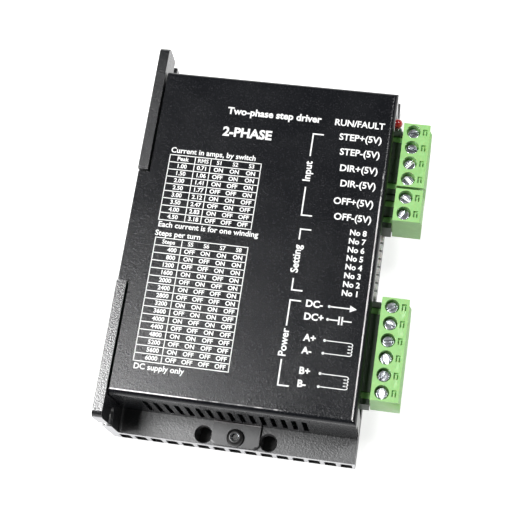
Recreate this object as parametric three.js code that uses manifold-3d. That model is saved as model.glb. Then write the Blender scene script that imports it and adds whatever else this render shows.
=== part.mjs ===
// Two-phase stepper driver module: a finned heatsink with a mounting flange, a bent sheet cover,
// a circuit board with pluggable screw terminals, an eight-way slide switch and two indicator lamps.
//
// Millimetres, +Z up (printed side of the cover), +X towards the terminals, +Y towards the far end.
// Every x below is counted from the outer face of the mounting flange; the whole group is moved
// at the end so that the origin is the middle of the bounding box's bottom face.

import * as THREE from 'three';
import { mergeVertices } from 'three/addons/utils/BufferGeometryUtils.js';
import Module from 'manifold-3d';

const wasm = await Module();
wasm.setup();

// ---------------------------------------------------------------- driving dimensions

// Heatsink extrusion
const bodyWidth = 75.5;          // X, flange face to the free edge of the base
const flangeThickness = 3;
const ledgeHeight = 8.6;         // top of the finned base
const webThickness = 2.4;        // solid plate above the fins
const finThickness = 1.4;
const finPitchTarget = 4.9;
const flangeFoot = 2.6;          // width of the flange where the first groove starts
const edgeFin = 0.9;             // last fin, at the free edge
const filletRadius = 1;
const flangeCornerRadius = 2.2;

// Fixings at both ends of the heatsink
const ledgeDepth = 7.5;          // base left bare beyond each end of the cover
const fixingInset = 3;           // fixing centres in from each end
const slotWidth = 4.5;           // open-ended slots in the flange
const slotHeight = 21.5;         // Z of the slot centres
const ledgeHoleDiameter = 5;
const ledgeHoleSpacing = 20;     // two holes, one on each side of the cover screw
const coverScrewX = 39;
const coverScrew = {
  head: 2.75, headHeight: 1.7, flatTop: 1.4, shank: 1.3, length: 6.5, socket: 1.15, socketDepth: 1,
};

// Cover
const sheet = 1.2;
const bendRadius = 1.6;          // outside
const coverDrop = 1.4;           // cover's top face below the top of the flange
const flangeGap = 0.5;           // between the flange and the cover's edge
const tongueLength = 35;         // tongue over the notch in the flange
const tabWidth = 14.6;
const tabInset = 0.3;            // from the tab's free edge to the end of the heatsink
const tabCornerRadius = 1.5;
const ventCount = 16;
const ventPitch = 3.15;
const ventWidth = 1.5;
const ventCorner = 0.45;
const ventBottom = 12;
const ventBelowTop = 6.4;        // top of the slits below the cover's top face
const ventCentreX = 36.6;
const windowHeadroom = 0.4;      // window's top edge above the tallest piece in it
const lipClearance = 1.5;        // from the window to the first and last piece in the row

// Pluggable terminals
const pitch = 5.08;
const headerDepth = 12;
const headerHeight = 8.6;
const headerWall = 1;
const headerBack = 2.5;
const headerEnds = 0.2;          // header longer than its poles at each end
const headerOverhang = 2.5;      // header's mouth beyond the edge of the base
const notchWidth = 2;            // coding notches in the header's roof
const notchDepth = 3.4;
const pinSize = 1;
const pinReach = 7;              // pin inside the header's hollow
const pinTail = 2.2;             // pin below the board
const plugDepth = 8.7;           // from its shoulder to the wire side
const plugBelow = 0.5;           // plug's underside above the board's top face
const plugChamfer = 0.7;
const screwInset = 3.1;          // screw centre from the plug's shoulder
const screwHeadRadius = 1.75;
const screwHeadHeight = 1.8;
const screwShankRadius = 0.95;
const screwRecess = 1.6;         // screw head below the plug's top face
const screwWeb = 0.6;            // plastic that holds the screw head above the clamp chamber
const screwSlot = 0.6;
const screwSlotDepth = 0.8;
const chamberWall = 0.78;        // plastic left between two clamp chambers
const cageDepth = 4.2;           // X
const cageWall = 0.6;
const cageRoof = 1;
const cageOpening = 5.5;         // Z, inside the clamp cage
const cageTravel = 2.5;
const wireHeight = 3.5;
const wireGuide = 0.1;           // wire entry narrower than the cage, so that a wire can't catch on it
const plugFloor = 0.6;
const contactWidth = 1.6;
const contactThickness = 0.6;

// Circuit board and what stands on it
const boardThickness = 1.6;
const roomAboveBoard = 13.8;     // clear height under the cover
const boardLift = 7.4;           // height of the spacers pressed into the board, which stand on the base
const boardFromFlange = 2;
const boardFromEnd = 0.8;        // from the inside of the cover's end walls
const boardFromEdge = 1.5;       // board edge inside the edge of the base
const spacerRadius = 2.75;
const spacerInset = 4.5;         // spacer centres from the board's edges and from the headers
const boardScrewRadius = 1.1;
const boardScrewHeadRadius = 2.2;
const boardScrewHeadHeight = 1.7;
const boardScrewThread = 1.6;    // screw's length in the base, below the spacer
const boardScrewTapped = 2;      // tapped depth in the base
const boardScrewCross = { reach: 1.3, width: 0.7, depth: 0.9 };
const lampBeside = 2.3;          // lamp axes beyond the first header
const lampRadius = 1.5;
const lampRim = 1.9;
const lampRimWidth = 1;
const lampLength = 5.3;
const lampProtrusion = 2.1;      // lamp's tip beyond the edge of the base
const lampHeights = [3.1, 8.7];  // lamp axes above the board
const lampLegPitch = 1.77;
const lampLegStep = 1.5;         // legs turn down this far behind the lower lamp
const legSize = 0.5;

// Parts hidden by the cover
const padThickness = 0.5;
const bridge = { length: 24, width: 12, height: 4.4, leads: 5, leadPitch: 3.81, x: 24, spacing: 32 };
const capacitor = { headroom: 1.2, length: 25, xs: [16, 32], y: -24 };
const inductor = { size: 12, height: 6, beforeHeader: 17, y: -28 };
const controller = { size: [10, 10, 1.4], legs: 5, legPitch: 1.6, x: 38, y: 8 };
const optocoupler = { size: [4.4, 6.5, 3.4], legs: 2, legPitch: 2.54, count: 3, beforeHeader: 9, y: 26 };
const packageStand = 0.3;        // package body above the board
const packageLeg = { reach: 0.8, thickness: 0.2 };
const bridgeLead = { reach: 1.6, thickness: 0.6, width: 0.8 };
const canGroove = { depth: 0.5, at: 3, edge: 0.6 };

// Slide switch
const switchPitch = 2.54;
const switchCount = 8;
const switchMargin = 1.7;        // body beyond the outer sliders' centres, less half a pitch
const switchDepth = 8.5;
const switchHeight = 9.8;
const switchInset = 0.5;         // its face inside the edge of the base
const sliderWidth = 1.5;
const sliderHeight = 1.9;
const sliderTravel = 2;
const sliderProud = 1;
const sliderDepth = 3;

// Clearances
const gap = 0.3;                 // between pieces that only meet
const slideGap = 0.2;            // round the switch sliders
const lap = 0.1;                 // joined solids run this far into each other

// ---------------------------------------------------------------- the row along the board's edge

const rowGaps = { headers: 0.38, beforeSwitch: 0.45, afterSwitch: 1.6 };
const lampZone = 9.7;            // far end of the cover to the first header
const nearZone = 7.53;           // last header to the near end of the cover
const headerLength = (poles) => poles * pitch + 2 * headerEnds;
const switchLength = switchCount * switchPitch + 2 * (switchMargin - switchPitch / 2);
const rowLength = headerLength(4) + rowGaps.headers + headerLength(2) + rowGaps.beforeSwitch
  + switchLength + rowGaps.afterSwitch + headerLength(6);

const coverLength = lampZone + rowLength + nearZone;
const bodyLength = coverLength + 2 * ledgeDepth;
const rowFar = coverLength / 2 - lampZone;
const signalFourY = rowFar - headerLength(4) / 2;
const signalTwoY = signalFourY - headerLength(4) / 2 - rowGaps.headers - headerLength(2) / 2;
const switchY = signalTwoY - headerLength(2) / 2 - rowGaps.beforeSwitch - switchLength / 2;
const powerY = switchY - switchLength / 2 - rowGaps.afterSwitch - headerLength(6) / 2;
const rowNear = powerY - headerLength(6) / 2;
const lampY = rowFar + lampBeside;

// Levels and places that several pieces share
const boardBottom = ledgeHeight + boardLift;
const boardTop = boardBottom + boardThickness;
const coverTop = boardTop + roomAboveBoard + sheet;
const bodyHeight = coverTop + coverDrop;
const windowTop = boardTop + windowHeadroom
  + Math.max(headerHeight, switchHeight, ...lampHeights.map((height) => height + lampRim));
const headerMouth = bodyWidth + headerOverhang;
const headerRear = headerMouth - headerDepth;
const plugShoulder = headerMouth + gap;
const plugFront = plugShoulder + plugDepth;
const plugBottom = boardTop + plugBelow;
const screwX = plugShoulder + screwInset;
const fixingY = bodyLength / 2 - fixingInset;
const screwHoleRadius = coverScrew.shank + gap;
const boardXs = [flangeThickness + boardFromFlange, bodyWidth - boardFromEdge];
const boardHalf = coverLength / 2 - sheet - boardFromEnd;
const spacerPlaces = [-1, 1].flatMap((side) => [
  [boardXs[0] + spacerInset, side * (boardHalf - spacerInset)],
  [headerRear - spacerInset, side * (boardHalf - spacerInset)],
]);

// ---------------------------------------------------------------- materials

function finish(colour, roughness, metalness) {
  return new THREE.MeshStandardMaterial({ color: colour, roughness, metalness });
}

const finishes = {
  powderCoat: () => finish(0x2a2b2f, 0.55, 0.2),
  blackScrew: () => finish(0x1b1b1c, 0.4, 0.8),
  steel: () => finish(0xb8bdc2, 0.3, 1),
  brass: () => finish(0xc9b87a, 0.35, 1),
  plugGreen: () => finish(0x8fd676, 0.45, 0),
  headerGreen: () => finish(0x3f8f3a, 0.5, 0),
  board: () => finish(0x1d5a35, 0.45, 0),
  switchBody: () => finish(0x2b2447, 0.4, 0),
  slider: () => finish(0xf2f2ee, 0.5, 0),
  redLamp: () => finish(0xb8343a, 0.2, 0),
  greenLamp: () => finish(0x1f5a2a, 0.2, 0),
  chip: () => finish(0x202022, 0.6, 0),
  pad: () => finish(0x9a9fa6, 0.8, 0),
  can: () => finish(0x26303f, 0.35, 0.3),
  ferrite: () => finish(0x3a3a3c, 0.7, 0),
};

// ---------------------------------------------------------------- geometry helpers

function toSolid(geometry) {
  const bare = geometry.clone();
  bare.deleteAttribute('normal');
  bare.deleteAttribute('uv');
  const merged = mergeVertices(bare, 1e-4);
  return new wasm.Manifold(new wasm.Mesh({
    numProp: 3,
    vertProperties: new Float32Array(merged.attributes.position.array),
    triVerts: new Uint32Array(merged.index.array),
  }));
}

function toGeometry(solid) {
  const mesh = solid.getMesh();
  const indexed = new THREE.BufferGeometry();
  indexed.setAttribute('position', new THREE.BufferAttribute(mesh.vertProperties, 3));
  indexed.setIndex(new THREE.BufferAttribute(mesh.triVerts, 1));
  const geometry = indexed.toNonIndexed();
  geometry.computeVertexNormals();
  return geometry;
}

// Box between two corners.
function block([x0, x1], [y0, y1], [z0, z1]) {
  const geometry = new THREE.BoxGeometry(x1 - x0, y1 - y0, z1 - z0);
  geometry.translate((x0 + x1) / 2, (y0 + y1) / 2, (z0 + z1) / 2);
  return toSolid(geometry);
}

// Round bar along Z.
function bar(x, y, radius, [z0, z1], segments = 20) {
  const geometry = new THREE.CylinderGeometry(radius, radius, z1 - z0, segments);
  geometry.rotateX(Math.PI / 2);
  geometry.translate(x, y, (z0 + z1) / 2);
  return toSolid(geometry);
}

// Flat outline pushed along one axis: 'x' takes (y, z) points, 'y' takes (x, z), 'z' takes (x, y).
function push(outline, axis, [from, to], curveSegments = 4) {
  const options = { depth: to - from, bevelEnabled: false, curveSegments };
  const geometry = new THREE.ExtrudeGeometry(outline, options);
  if (axis === 'x') {
    const turn = new THREE.Matrix4().makeBasis(
      new THREE.Vector3(0, 1, 0), new THREE.Vector3(0, 0, 1), new THREE.Vector3(1, 0, 0),
    );
    geometry.applyMatrix4(turn);
    geometry.translate(from, 0, 0);
  } else if (axis === 'y') {
    geometry.rotateX(Math.PI / 2);
    geometry.translate(0, to, 0);
  } else {
    geometry.translate(0, 0, from);
  }
  return toSolid(geometry);
}

// Rectangle with its own radius at each corner, counted anticlockwise from the low corner.
function roundedOutline([u0, u1], [v0, v1], radii) {
  const [a, b, c, d] = radii;
  const outline = new THREE.Shape();
  outline.moveTo(u0 + a, v0);
  outline.lineTo(u1 - b, v0);
  if (b > 0) outline.absarc(u1 - b, v0 + b, b, -Math.PI / 2, 0);
  outline.lineTo(u1, v1 - c);
  if (c > 0) outline.absarc(u1 - c, v1 - c, c, 0, Math.PI / 2);
  outline.lineTo(u0 + d, v1);
  if (d > 0) outline.absarc(u0 + d, v1 - d, d, Math.PI / 2, Math.PI);
  outline.lineTo(u0, v0 + a);
  if (a > 0) outline.absarc(u0 + a, v0 + a, a, Math.PI, 1.5 * Math.PI);
  return outline;
}

function joined(solids) {
  return solids.reduce((total, solid) => total.add(solid));
}

function cut(solid, tools) {
  return solid.subtract(joined(tools));
}

const driver = new THREE.Group();
driver.name = 'stepper_driver_module';

function place(name, solid, material, x = 0, y = 0, z = 0, turn = 0) {
  const mesh = new THREE.Mesh(toGeometry(solid), material);
  mesh.name = name;
  mesh.position.set(x, y, z);
  mesh.rotation.z = turn;
  driver.add(mesh);
  return mesh;
}

// ---------------------------------------------------------------- heatsink

// The end view of the extrusion: flange, fillet, ledge and the grooves between the fins.
function heatsinkOutline() {
  const fillWidth = bodyWidth - flangeFoot;
  const grooves = Math.round(fillWidth / finPitchTarget);
  const finPitch = (fillWidth - edgeFin + finThickness) / grooves;
  const groove = finPitch - finThickness;
  const root = ledgeHeight - webThickness;
  const rootCorner = groove / 6;
  const outline = new THREE.Shape();
  outline.moveTo(0, 0);
  for (let i = 0; i < grooves; i += 1) {
    const left = flangeFoot + i * finPitch;
    const right = left + groove;
    outline.lineTo(left, 0);
    outline.lineTo(left, root - rootCorner);
    outline.lineTo(left + rootCorner, root);
    outline.lineTo(right - rootCorner, root);
    outline.lineTo(right, root - rootCorner);
    outline.lineTo(right, 0);
  }
  outline.lineTo(bodyWidth, 0);
  outline.lineTo(bodyWidth, ledgeHeight);
  const filletX = flangeThickness + filletRadius;
  const filletZ = ledgeHeight + filletRadius;
  outline.lineTo(filletX, ledgeHeight);
  outline.absarc(filletX, filletZ, filletRadius, 1.5 * Math.PI, Math.PI, true);
  outline.lineTo(flangeThickness, bodyHeight);
  outline.lineTo(0, bodyHeight);
  outline.lineTo(0, 0);
  return outline;
}

function makeHeatsink() {
  const half = bodyLength / 2;
  let solid = push(heatsinkOutline(), 'y', [-half, half]);
  const corners = [0, 0, flangeCornerRadius, flangeCornerRadius];
  const profile = roundedOutline([-half, half], [-1, bodyHeight], corners);
  solid = solid.intersect(push(profile, 'x', [-1, bodyWidth + 1]));

  const tools = [];
  const slotZ = [slotHeight - slotWidth / 2, slotHeight + slotWidth / 2];
  for (const side of [-1, 1]) {
    const y = side * fixingY;
    const slotEnd = new THREE.Shape();
    slotEnd.absarc(y, slotHeight, slotWidth / 2, 0, 2 * Math.PI);
    tools.push(push(slotEnd, 'x', [-1, flangeThickness + 1], 10));
    const mouth = [Math.min(y, side * (half + 1)), Math.max(y, side * (half + 1))];
    tools.push(block([-1, flangeThickness + 1], mouth, slotZ));
    for (const offset of [-ledgeHoleSpacing / 2, ledgeHoleSpacing / 2]) {
      tools.push(bar(coverScrewX + offset, y, ledgeHoleDiameter / 2, [-1, ledgeHeight + 1]));
    }
    tools.push(bar(coverScrewX, y, screwHoleRadius, [-1, ledgeHeight + 1], 16));
  }
  const notchHalf = tongueLength / 2 + gap;
  const notchFloor = coverTop - sheet - gap;
  tools.push(block([-1, flangeThickness + 1], [-notchHalf, notchHalf], [notchFloor, bodyHeight + 1]));
  solid = cut(solid, tools);

  const tapped = spacerPlaces.map(([x, y]) => (
    bar(x, y, boardScrewRadius + gap, [ledgeHeight - boardScrewTapped, ledgeHeight + 1], 12)
  ));
  return cut(solid, tapped);
}

// ---------------------------------------------------------------- cover

function makeCover() {
  const half = coverLength / 2;
  const left = flangeThickness + flangeGap;
  const inner = bendRadius - sheet;
  const floor = ledgeHeight + gap;

  // Outer and inner blocks, each with its bends rounded along both directions.
  const endView = roundedOutline([left, bodyWidth], [floor, coverTop], [0, 0, bendRadius, 0]);
  const sideView = roundedOutline([-half, half], [floor, coverTop], [0, 0, bendRadius, bendRadius]);
  const outer = push(endView, 'y', [-half, half]).intersect(push(sideView, 'x', [0, bodyWidth + 1]));
  const insideX = [left - 1, bodyWidth - sheet];
  const insideY = [-half + sheet, half - sheet];
  const insideZ = [floor - 1, coverTop - sheet];
  const hollow = push(roundedOutline(insideX, insideZ, [0, 0, inner, 0]), 'y', insideY)
    .intersect(push(roundedOutline(insideY, insideZ, [0, 0, inner, inner]), 'x', [left - 1, bodyWidth]));
  let solid = outer.subtract(hollow);

  const tools = [];
  const window = [rowNear - lipClearance, lampY + lampRim + lipClearance / 2];
  tools.push(block([bodyWidth - 2 * sheet, bodyWidth + 1], window, [floor - 1, windowTop]));
  const ventZ = [ventBottom, coverTop - ventBelowTop];
  for (let i = 0; i < ventCount; i += 1) {
    const x = ventCentreX + (i - (ventCount - 1) / 2) * ventPitch;
    const corners = [ventCorner, ventCorner, ventCorner, ventCorner];
    const slit = roundedOutline([x - ventWidth / 2, x + ventWidth / 2], ventZ, corners);
    tools.push(push(slit, 'y', [-half - 1, half + 1], 1));
  }
  solid = cut(solid, tools);

  const tongue = roundedOutline([0, left + 1], [-tongueLength / 2, tongueLength / 2], [0, 0, 0, 0]);
  solid = solid.add(push(tongue, 'z', [coverTop - sheet, coverTop]));

  // A tab at the foot of each end wall turns out over the ledge and takes a screw.
  for (const side of [-1, 1]) {
    const root = side * (half - sheet);
    const tip = side * (bodyLength / 2 - tabInset);
    const corner = tabCornerRadius;
    const corners = side < 0 ? [corner, corner, 0, 0] : [0, 0, corner, corner];
    const spanX = [coverScrewX - tabWidth / 2, coverScrewX + tabWidth / 2];
    const tab = roundedOutline(spanX, [Math.min(root, tip), Math.max(root, tip)], corners);
    const wall = [Math.min(root, side * half), Math.max(root, side * half)];
    solid = solid.add(push(tab, 'z', [ledgeHeight, ledgeHeight + sheet]));
    solid = solid.add(block(spanX, wall, [ledgeHeight, floor + 1]));
    const through = [ledgeHeight - 1, ledgeHeight + sheet + 1];
    solid = solid.subtract(bar(coverScrewX, side * fixingY, screwHoleRadius, through, 16));
  }
  return solid;
}

// Button-head screw that holds a tab down: head on the tab, shank in the base. The head is a
// quarter of an ellipse, flat on top, with a hexagon socket.
function makeCoverScrew() {
  const { head, headHeight, shank, length, flatTop, socket, socketDepth } = coverScrew;
  const points = [[0, -length], [shank, -length], [shank, 0]];
  const steps = 4;
  for (let i = 0; i <= steps; i += 1) {
    const angle = (i / steps) * Math.PI / 2;
    points.push([flatTop + (head - flatTop) * Math.cos(angle), headHeight * Math.sin(angle)]);
  }
  points.push([0, headHeight]);
  const lathe = new THREE.LatheGeometry(points.map(([r, h]) => new THREE.Vector2(r, h)), 16);
  lathe.rotateX(Math.PI / 2);
  const hexagon = bar(0, 0, socket, [headHeight - socketDepth, headHeight + 1], 6);
  return toSolid(lathe).subtract(hexagon);
}

// ---------------------------------------------------------------- board

function pinPlaces(centreY, poles) {
  return Array.from({ length: poles }, (_, i) => centreY + ((poles - 1) / 2 - i) * pitch);
}

const rowPins = [[signalFourY, 4], [signalTwoY, 2], [powerY, 6]].flatMap(([y, poles]) => pinPlaces(y, poles));
const pinTailX = headerRear + headerBack / 2;

// Board with the four spacers pressed into it, each with a screw hole right through.
function makeBoard() {
  const plate = block(boardXs, [-boardHalf, boardHalf], [boardBottom, boardTop]);
  const spacerZ = [ledgeHeight, boardBottom + boardThickness / 2];
  const spacers = spacerPlaces.map(([x, y]) => bar(x, y, spacerRadius, spacerZ, 16));
  const through = [ledgeHeight - 1, boardTop + 1];
  const holes = spacerPlaces.map(([x, y]) => bar(x, y, boardScrewRadius + gap, through, 12));
  const reach = pinSize / 2 + gap;
  for (const y of rowPins) {
    holes.push(block([pinTailX - reach, pinTailX + reach], [y - reach, y + reach], through));
  }
  return cut(joined([plate, ...spacers]), holes);
}

function makeBoardScrew() {
  const head = bar(0, 0, boardScrewHeadRadius, [0, boardScrewHeadHeight], 16);
  const tip = -boardThickness - boardLift - boardScrewThread;
  const shank = bar(0, 0, boardScrewRadius, [tip, boardScrewHeadHeight / 2], 12);
  const wide = [-boardScrewCross.reach, boardScrewCross.reach];
  const narrow = [-boardScrewCross.width / 2, boardScrewCross.width / 2];
  const crossZ = [boardScrewHeadHeight - boardScrewCross.depth, boardScrewHeadHeight + 1];
  return cut(head.add(shank), [block(wide, narrow, crossZ), block(narrow, wide, crossZ)]);
}

// Moulded package with a row of legs along each long side, its feet on the board.
function makePackage({ size: [length, width, height], legs, legPitch }) {
  const halfX = width / 2;
  const halfY = length / 2;
  const parts = [block([-halfX, halfX], [-halfY, halfY], [packageStand, packageStand + height])];
  const shoulder = packageStand + height / 2;
  const { reach, thickness } = packageLeg;
  for (let i = 0; i < legs; i += 1) {
    const y = (i - (legs - 1) / 2) * legPitch;
    const legY = [y - legSize / 2, y + legSize / 2];
    parts.push(block([-halfX - reach, halfX + reach], legY, [shoulder - thickness, shoulder]));
    parts.push(block([-halfX - reach, -halfX - reach / 2], legY, [0, shoulder]));
    parts.push(block([halfX + reach / 2, halfX + reach], legY, [0, shoulder]));
  }
  return joined(parts);
}

// Power bridge lying on the thermal pad, its leads bent up to the underside of the board.
function makeBridge({ length, width, height, leads, leadPitch }) {
  const parts = [block([-width / 2, width / 2], [-length / 2, length / 2], [0, height])];
  const leadTop = boardLift - padThickness;
  const { reach, thickness } = bridgeLead;
  for (let i = 0; i < leads; i += 1) {
    const y = (i - (leads - 1) / 2) * leadPitch;
    const leadY = [y - bridgeLead.width / 2, y + bridgeLead.width / 2];
    const bend = [height / 2, height / 2 + thickness];
    parts.push(block([-width / 2 - reach, width / 2 + reach], leadY, bend));
    parts.push(block([-width / 2 - reach, -width / 2 - reach + thickness], leadY, [height / 2, leadTop]));
    parts.push(block([width / 2 + reach - thickness, width / 2 + reach], leadY, [height / 2, leadTop]));
  }
  return joined(parts);
}

// Electrolytic can lying on the board along Y, with its rolled groove.
function makeCapacitor(radius, length) {
  const { depth, at, edge } = canGroove;
  const points = [
    [0, 0], [radius - edge, 0], [radius, edge],
    [radius, at - edge], [radius - depth, at], [radius, at + edge],
    [radius, length - edge], [radius - edge, length], [0, length],
  ].map(([r, h]) => new THREE.Vector2(r, h));
  const lathe = new THREE.LatheGeometry(points, 20);
  lathe.translate(0, -length / 2, 0);
  return toSolid(lathe);
}

function makeInductor({ size, height }) {
  const corner = size / 5;
  const span = [-size / 2, size / 2];
  return push(roundedOutline(span, span, [corner, corner, corner, corner]), 'z', [0, height], 2);
}

// ---------------------------------------------------------------- terminals

// Right-angle header: shell open towards +X, one bent pin for each pole.
function makeHeader(poles) {
  const half = headerLength(poles) / 2;
  const base = boardTop;
  const shell = block([headerRear, headerMouth], [-half, half], [base, base + headerHeight]);
  const tools = [block(
    [headerRear + headerBack, headerMouth + 1],
    [-half + headerWall, half - headerWall],
    [base + headerWall, base + headerHeight - headerWall],
  )];
  for (const y of pinPlaces(0, poles)) {
    tools.push(block(
      [headerMouth - notchDepth, headerMouth + 1],
      [y - notchWidth / 2, y + notchWidth / 2],
      [base + headerHeight / 2, base + headerHeight + 1],
    ));
  }
  let solid = cut(shell, tools);
  const axis = base + headerHeight / 2;
  const r = pinSize / 2;
  for (const y of pinPlaces(0, poles)) {
    const reachX = headerRear + headerBack + pinReach;
    solid = solid.add(block([pinTailX - r, reachX], [y - r, y + r], [axis - r, axis + r]));
    solid = solid.add(block([pinTailX - r, pinTailX + r], [y - r, y + r], [boardBottom - pinTail, axis + r]));
  }
  return solid;
}

const cageWidth = pitch - chamberWall - 2 * gap;
const wireWidth = cageWidth - wireGuide;
const clampFloor = plugBottom + plugFloor;
const cageBottom = clampFloor + gap;
const cageTop = cageBottom + cageWall + cageOpening + cageRoof;
const chamberTop = cageTop + cageTravel + gap;
const headSeat = chamberTop + screwWeb;
const plugTop = headSeat + gap + screwHeadHeight + screwRecess;
const contactBottom = cageBottom + cageWall + wireHeight + gap + slideGap;

// Plug: tongue inside the header, then a tall block with a clamp chamber, a screw well and a
// wire entry for each pole. A metal contact bar runs from each pin socket into the chamber.
function makePlug(poles) {
  const half = poles * pitch / 2;
  const face = new THREE.Shape();
  face.moveTo(plugShoulder, plugBottom);
  face.lineTo(plugFront, plugBottom);
  face.lineTo(plugFront, plugTop - 2 * plugChamfer);
  face.lineTo(plugFront - plugChamfer, plugTop);
  face.lineTo(plugShoulder, plugTop);
  face.closePath();
  let solid = push(face, 'y', [-half, half]);

  const tongueY = headerLength(poles) / 2 - headerWall - gap;
  const tongueZ = [boardTop + headerWall + gap, boardTop + headerHeight - headerWall - gap];
  const tongueRear = headerRear + headerBack + gap;
  solid = solid.add(block([tongueRear, plugShoulder + lap], [-tongueY, tongueY], tongueZ));

  const socket = pinSize / 2 + gap;
  const pinAxis = boardTop + headerHeight / 2;
  const chamber = cageDepth / 2 + gap;
  const tools = [];
  for (const y of pinPlaces(0, poles)) {
    const socketEnd = headerRear + headerBack + pinReach + gap;
    const socketZ = [pinAxis - socket, pinAxis + socket];
    tools.push(block([tongueRear - 1, socketEnd], [y - socket, y + socket], socketZ));
    tools.push(block([screwX - chamber, screwX + chamber],
      [y - cageWidth / 2 - gap, y + cageWidth / 2 + gap], [clampFloor, chamberTop]));
    tools.push(bar(screwX, y, screwShankRadius + gap, [chamberTop - lap, headSeat + lap], 12));
    tools.push(bar(screwX, y, screwHeadRadius + gap, [headSeat, plugTop + 1], 16));
    const entryZ = [cageBottom + cageWall, cageBottom + cageWall + wireHeight];
    tools.push(block([screwX, plugFront + 1], [y - wireWidth / 2, y + wireWidth / 2], entryZ));
  }
  solid = cut(solid, tools);
  for (const y of pinPlaces(0, poles)) {
    solid = solid.add(block([plugShoulder + lap, screwX + cageDepth / 2],
      [y - contactWidth / 2, y + contactWidth / 2], [contactBottom, contactBottom + contactThickness]));
  }
  return solid;
}

// Slotted screw, its origin on the underside of the head.
function makeTerminalScrew() {
  const head = bar(0, 0, screwHeadRadius, [0, screwHeadHeight], 16);
  const shankEnd = contactBottom + contactThickness + gap - (headSeat + gap);
  const shank = bar(0, 0, screwShankRadius, [shankEnd, lap], 12);
  const reach = screwHeadRadius + 1;
  const slotZ = [screwHeadHeight - screwSlotDepth, screwHeadHeight + 1];
  const slot = block([-reach, reach], [-screwSlot / 2, screwSlot / 2], slotZ);
  return head.add(shank).subtract(slot);
}

// Clamp cage: a square tube open along X, its roof threaded on the screw.
function makeClamp() {
  const height = cageWall + cageOpening + cageRoof;
  const outer = block([-cageDepth / 2, cageDepth / 2], [-cageWidth / 2, cageWidth / 2], [0, height]);
  const opening = block([-cageDepth, cageDepth], [-cageWidth / 2 + cageWall, cageWidth / 2 - cageWall],
    [cageWall, cageWall + cageOpening]);
  const thread = bar(0, 0, screwShankRadius + gap, [cageWall + cageOpening - lap, height + 1], 12);
  return cut(outer, [opening, thread]);
}

// ---------------------------------------------------------------- switch and lamps

function sliderPlaces() {
  return Array.from({ length: switchCount }, (_, i) => ((switchCount - 1) / 2 - i) * switchPitch);
}

const switchFace = bodyWidth - switchInset;
const sliderMiddle = boardTop + switchHeight / 2;

function makeSwitchBody() {
  const body = block([switchFace - switchDepth, switchFace], [-switchLength / 2, switchLength / 2],
    [boardTop, boardTop + switchHeight]);
  const windowY = sliderWidth / 2 + slideGap;
  const windowZ = (sliderHeight + sliderTravel) / 2 + slideGap;
  const depth = sliderDepth - sliderProud + slideGap;
  const windows = sliderPlaces().map((y) => block(
    [switchFace - depth, switchFace + 1],
    [y - windowY, y + windowY],
    [sliderMiddle - windowZ, sliderMiddle + windowZ],
  ));
  return cut(body, windows);
}

// Slider in its lower, off, position; its origin is the middle of its outer face.
function makeSlider() {
  const z = sliderHeight / 2;
  const y = sliderWidth / 2;
  const corner = sliderWidth / 6;
  const outline = roundedOutline([-y, y], [-z, z], [corner, corner, corner, corner]);
  return push(outline, 'x', [-sliderDepth, 0], 1);
}

// Lamp pointing along +X from its origin at the back of the rim, on two bent legs.
function makeLamp(height) {
  const straight = lampLength - lampRadius;
  const points = [new THREE.Vector2(0, 0), new THREE.Vector2(lampRim, 0),
    new THREE.Vector2(lampRim, lampRimWidth), new THREE.Vector2(lampRadius, lampRimWidth)];
  const steps = 5;
  for (let i = 0; i < steps; i += 1) {
    const angle = (i / steps) * Math.PI / 2;
    points.push(new THREE.Vector2(lampRadius * Math.cos(angle), straight + lampRadius * Math.sin(angle)));
  }
  points.push(new THREE.Vector2(0, lampLength));
  const lens = new THREE.LatheGeometry(points, 16);
  lens.rotateZ(-Math.PI / 2);
  let solid = toSolid(lens);
  const back = -lampLegStep - height / 5;
  for (const y of [-lampLegPitch / 2, lampLegPitch / 2]) {
    const span = [y - legSize / 2, y + legSize / 2];
    solid = solid.add(block([back - legSize, lap], span, [-legSize / 2, legSize / 2]));
    solid = solid.add(block([back - legSize, back], span, [-height, legSize / 2]));
  }
  return solid;
}

// ---------------------------------------------------------------- assembly

place('heatsink', makeHeatsink(), finishes.powderCoat());
place('cover', makeCover(), finishes.powderCoat());
for (const [end, y] of [['near', -fixingY], ['far', fixingY]]) {
  place(`cover_screw_${end}`, makeCoverScrew(), finishes.blackScrew(), coverScrewX, y, ledgeHeight + sheet);
}

place('pcb', makeBoard(), finishes.board());
spacerPlaces.forEach(([x, y], i) => {
  place(`pcb_screw_${i + 1}`, makeBoardScrew(), finishes.steel(), x, y, boardTop);
});

const padHalf = { x: bridge.width / 2, y: (bridge.spacing + bridge.length) / 2 };
const padZ = [ledgeHeight, ledgeHeight + padThickness];
const pad = block([bridge.x - padHalf.x, bridge.x + padHalf.x], [-padHalf.y, padHalf.y], padZ);
place('thermal_pad', pad, finishes.pad());
for (const [phase, side] of [['a', 1], ['b', -1]]) {
  const y = side * bridge.spacing / 2;
  place(`bridge_driver_${phase}`, makeBridge(bridge), finishes.chip(), bridge.x, y, padZ[1]);
}

place('controller_chip', makePackage(controller), finishes.chip(), controller.x, controller.y, boardTop);
const canRadius = (roomAboveBoard - capacitor.headroom) / 2;
capacitor.xs.forEach((x, i) => {
  const can = makeCapacitor(canRadius, capacitor.length);
  place(`bus_capacitor_${i + 1}`, can, finishes.can(), x, capacitor.y, boardTop + canRadius);
});
const inductorX = headerRear - inductor.beforeHeader;
place('power_inductor', makeInductor(inductor), finishes.ferrite(), inductorX, inductor.y, boardTop);
const optocouplerX = headerRear - optocoupler.beforeHeader;
pinPlaces(optocoupler.y, optocoupler.count).forEach((y, i) => {
  place(`optocoupler_${i + 1}`, makePackage(optocoupler), finishes.chip(), optocouplerX, y, boardTop);
});

// Screw heads stop at whatever angle they were last turned to.
const slotTurns = {
  signal_4: [20, -15, 48, -42],
  signal_2: [28, -60],
  power: [35, -25, 10, -78, 60, 92],
};

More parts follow.
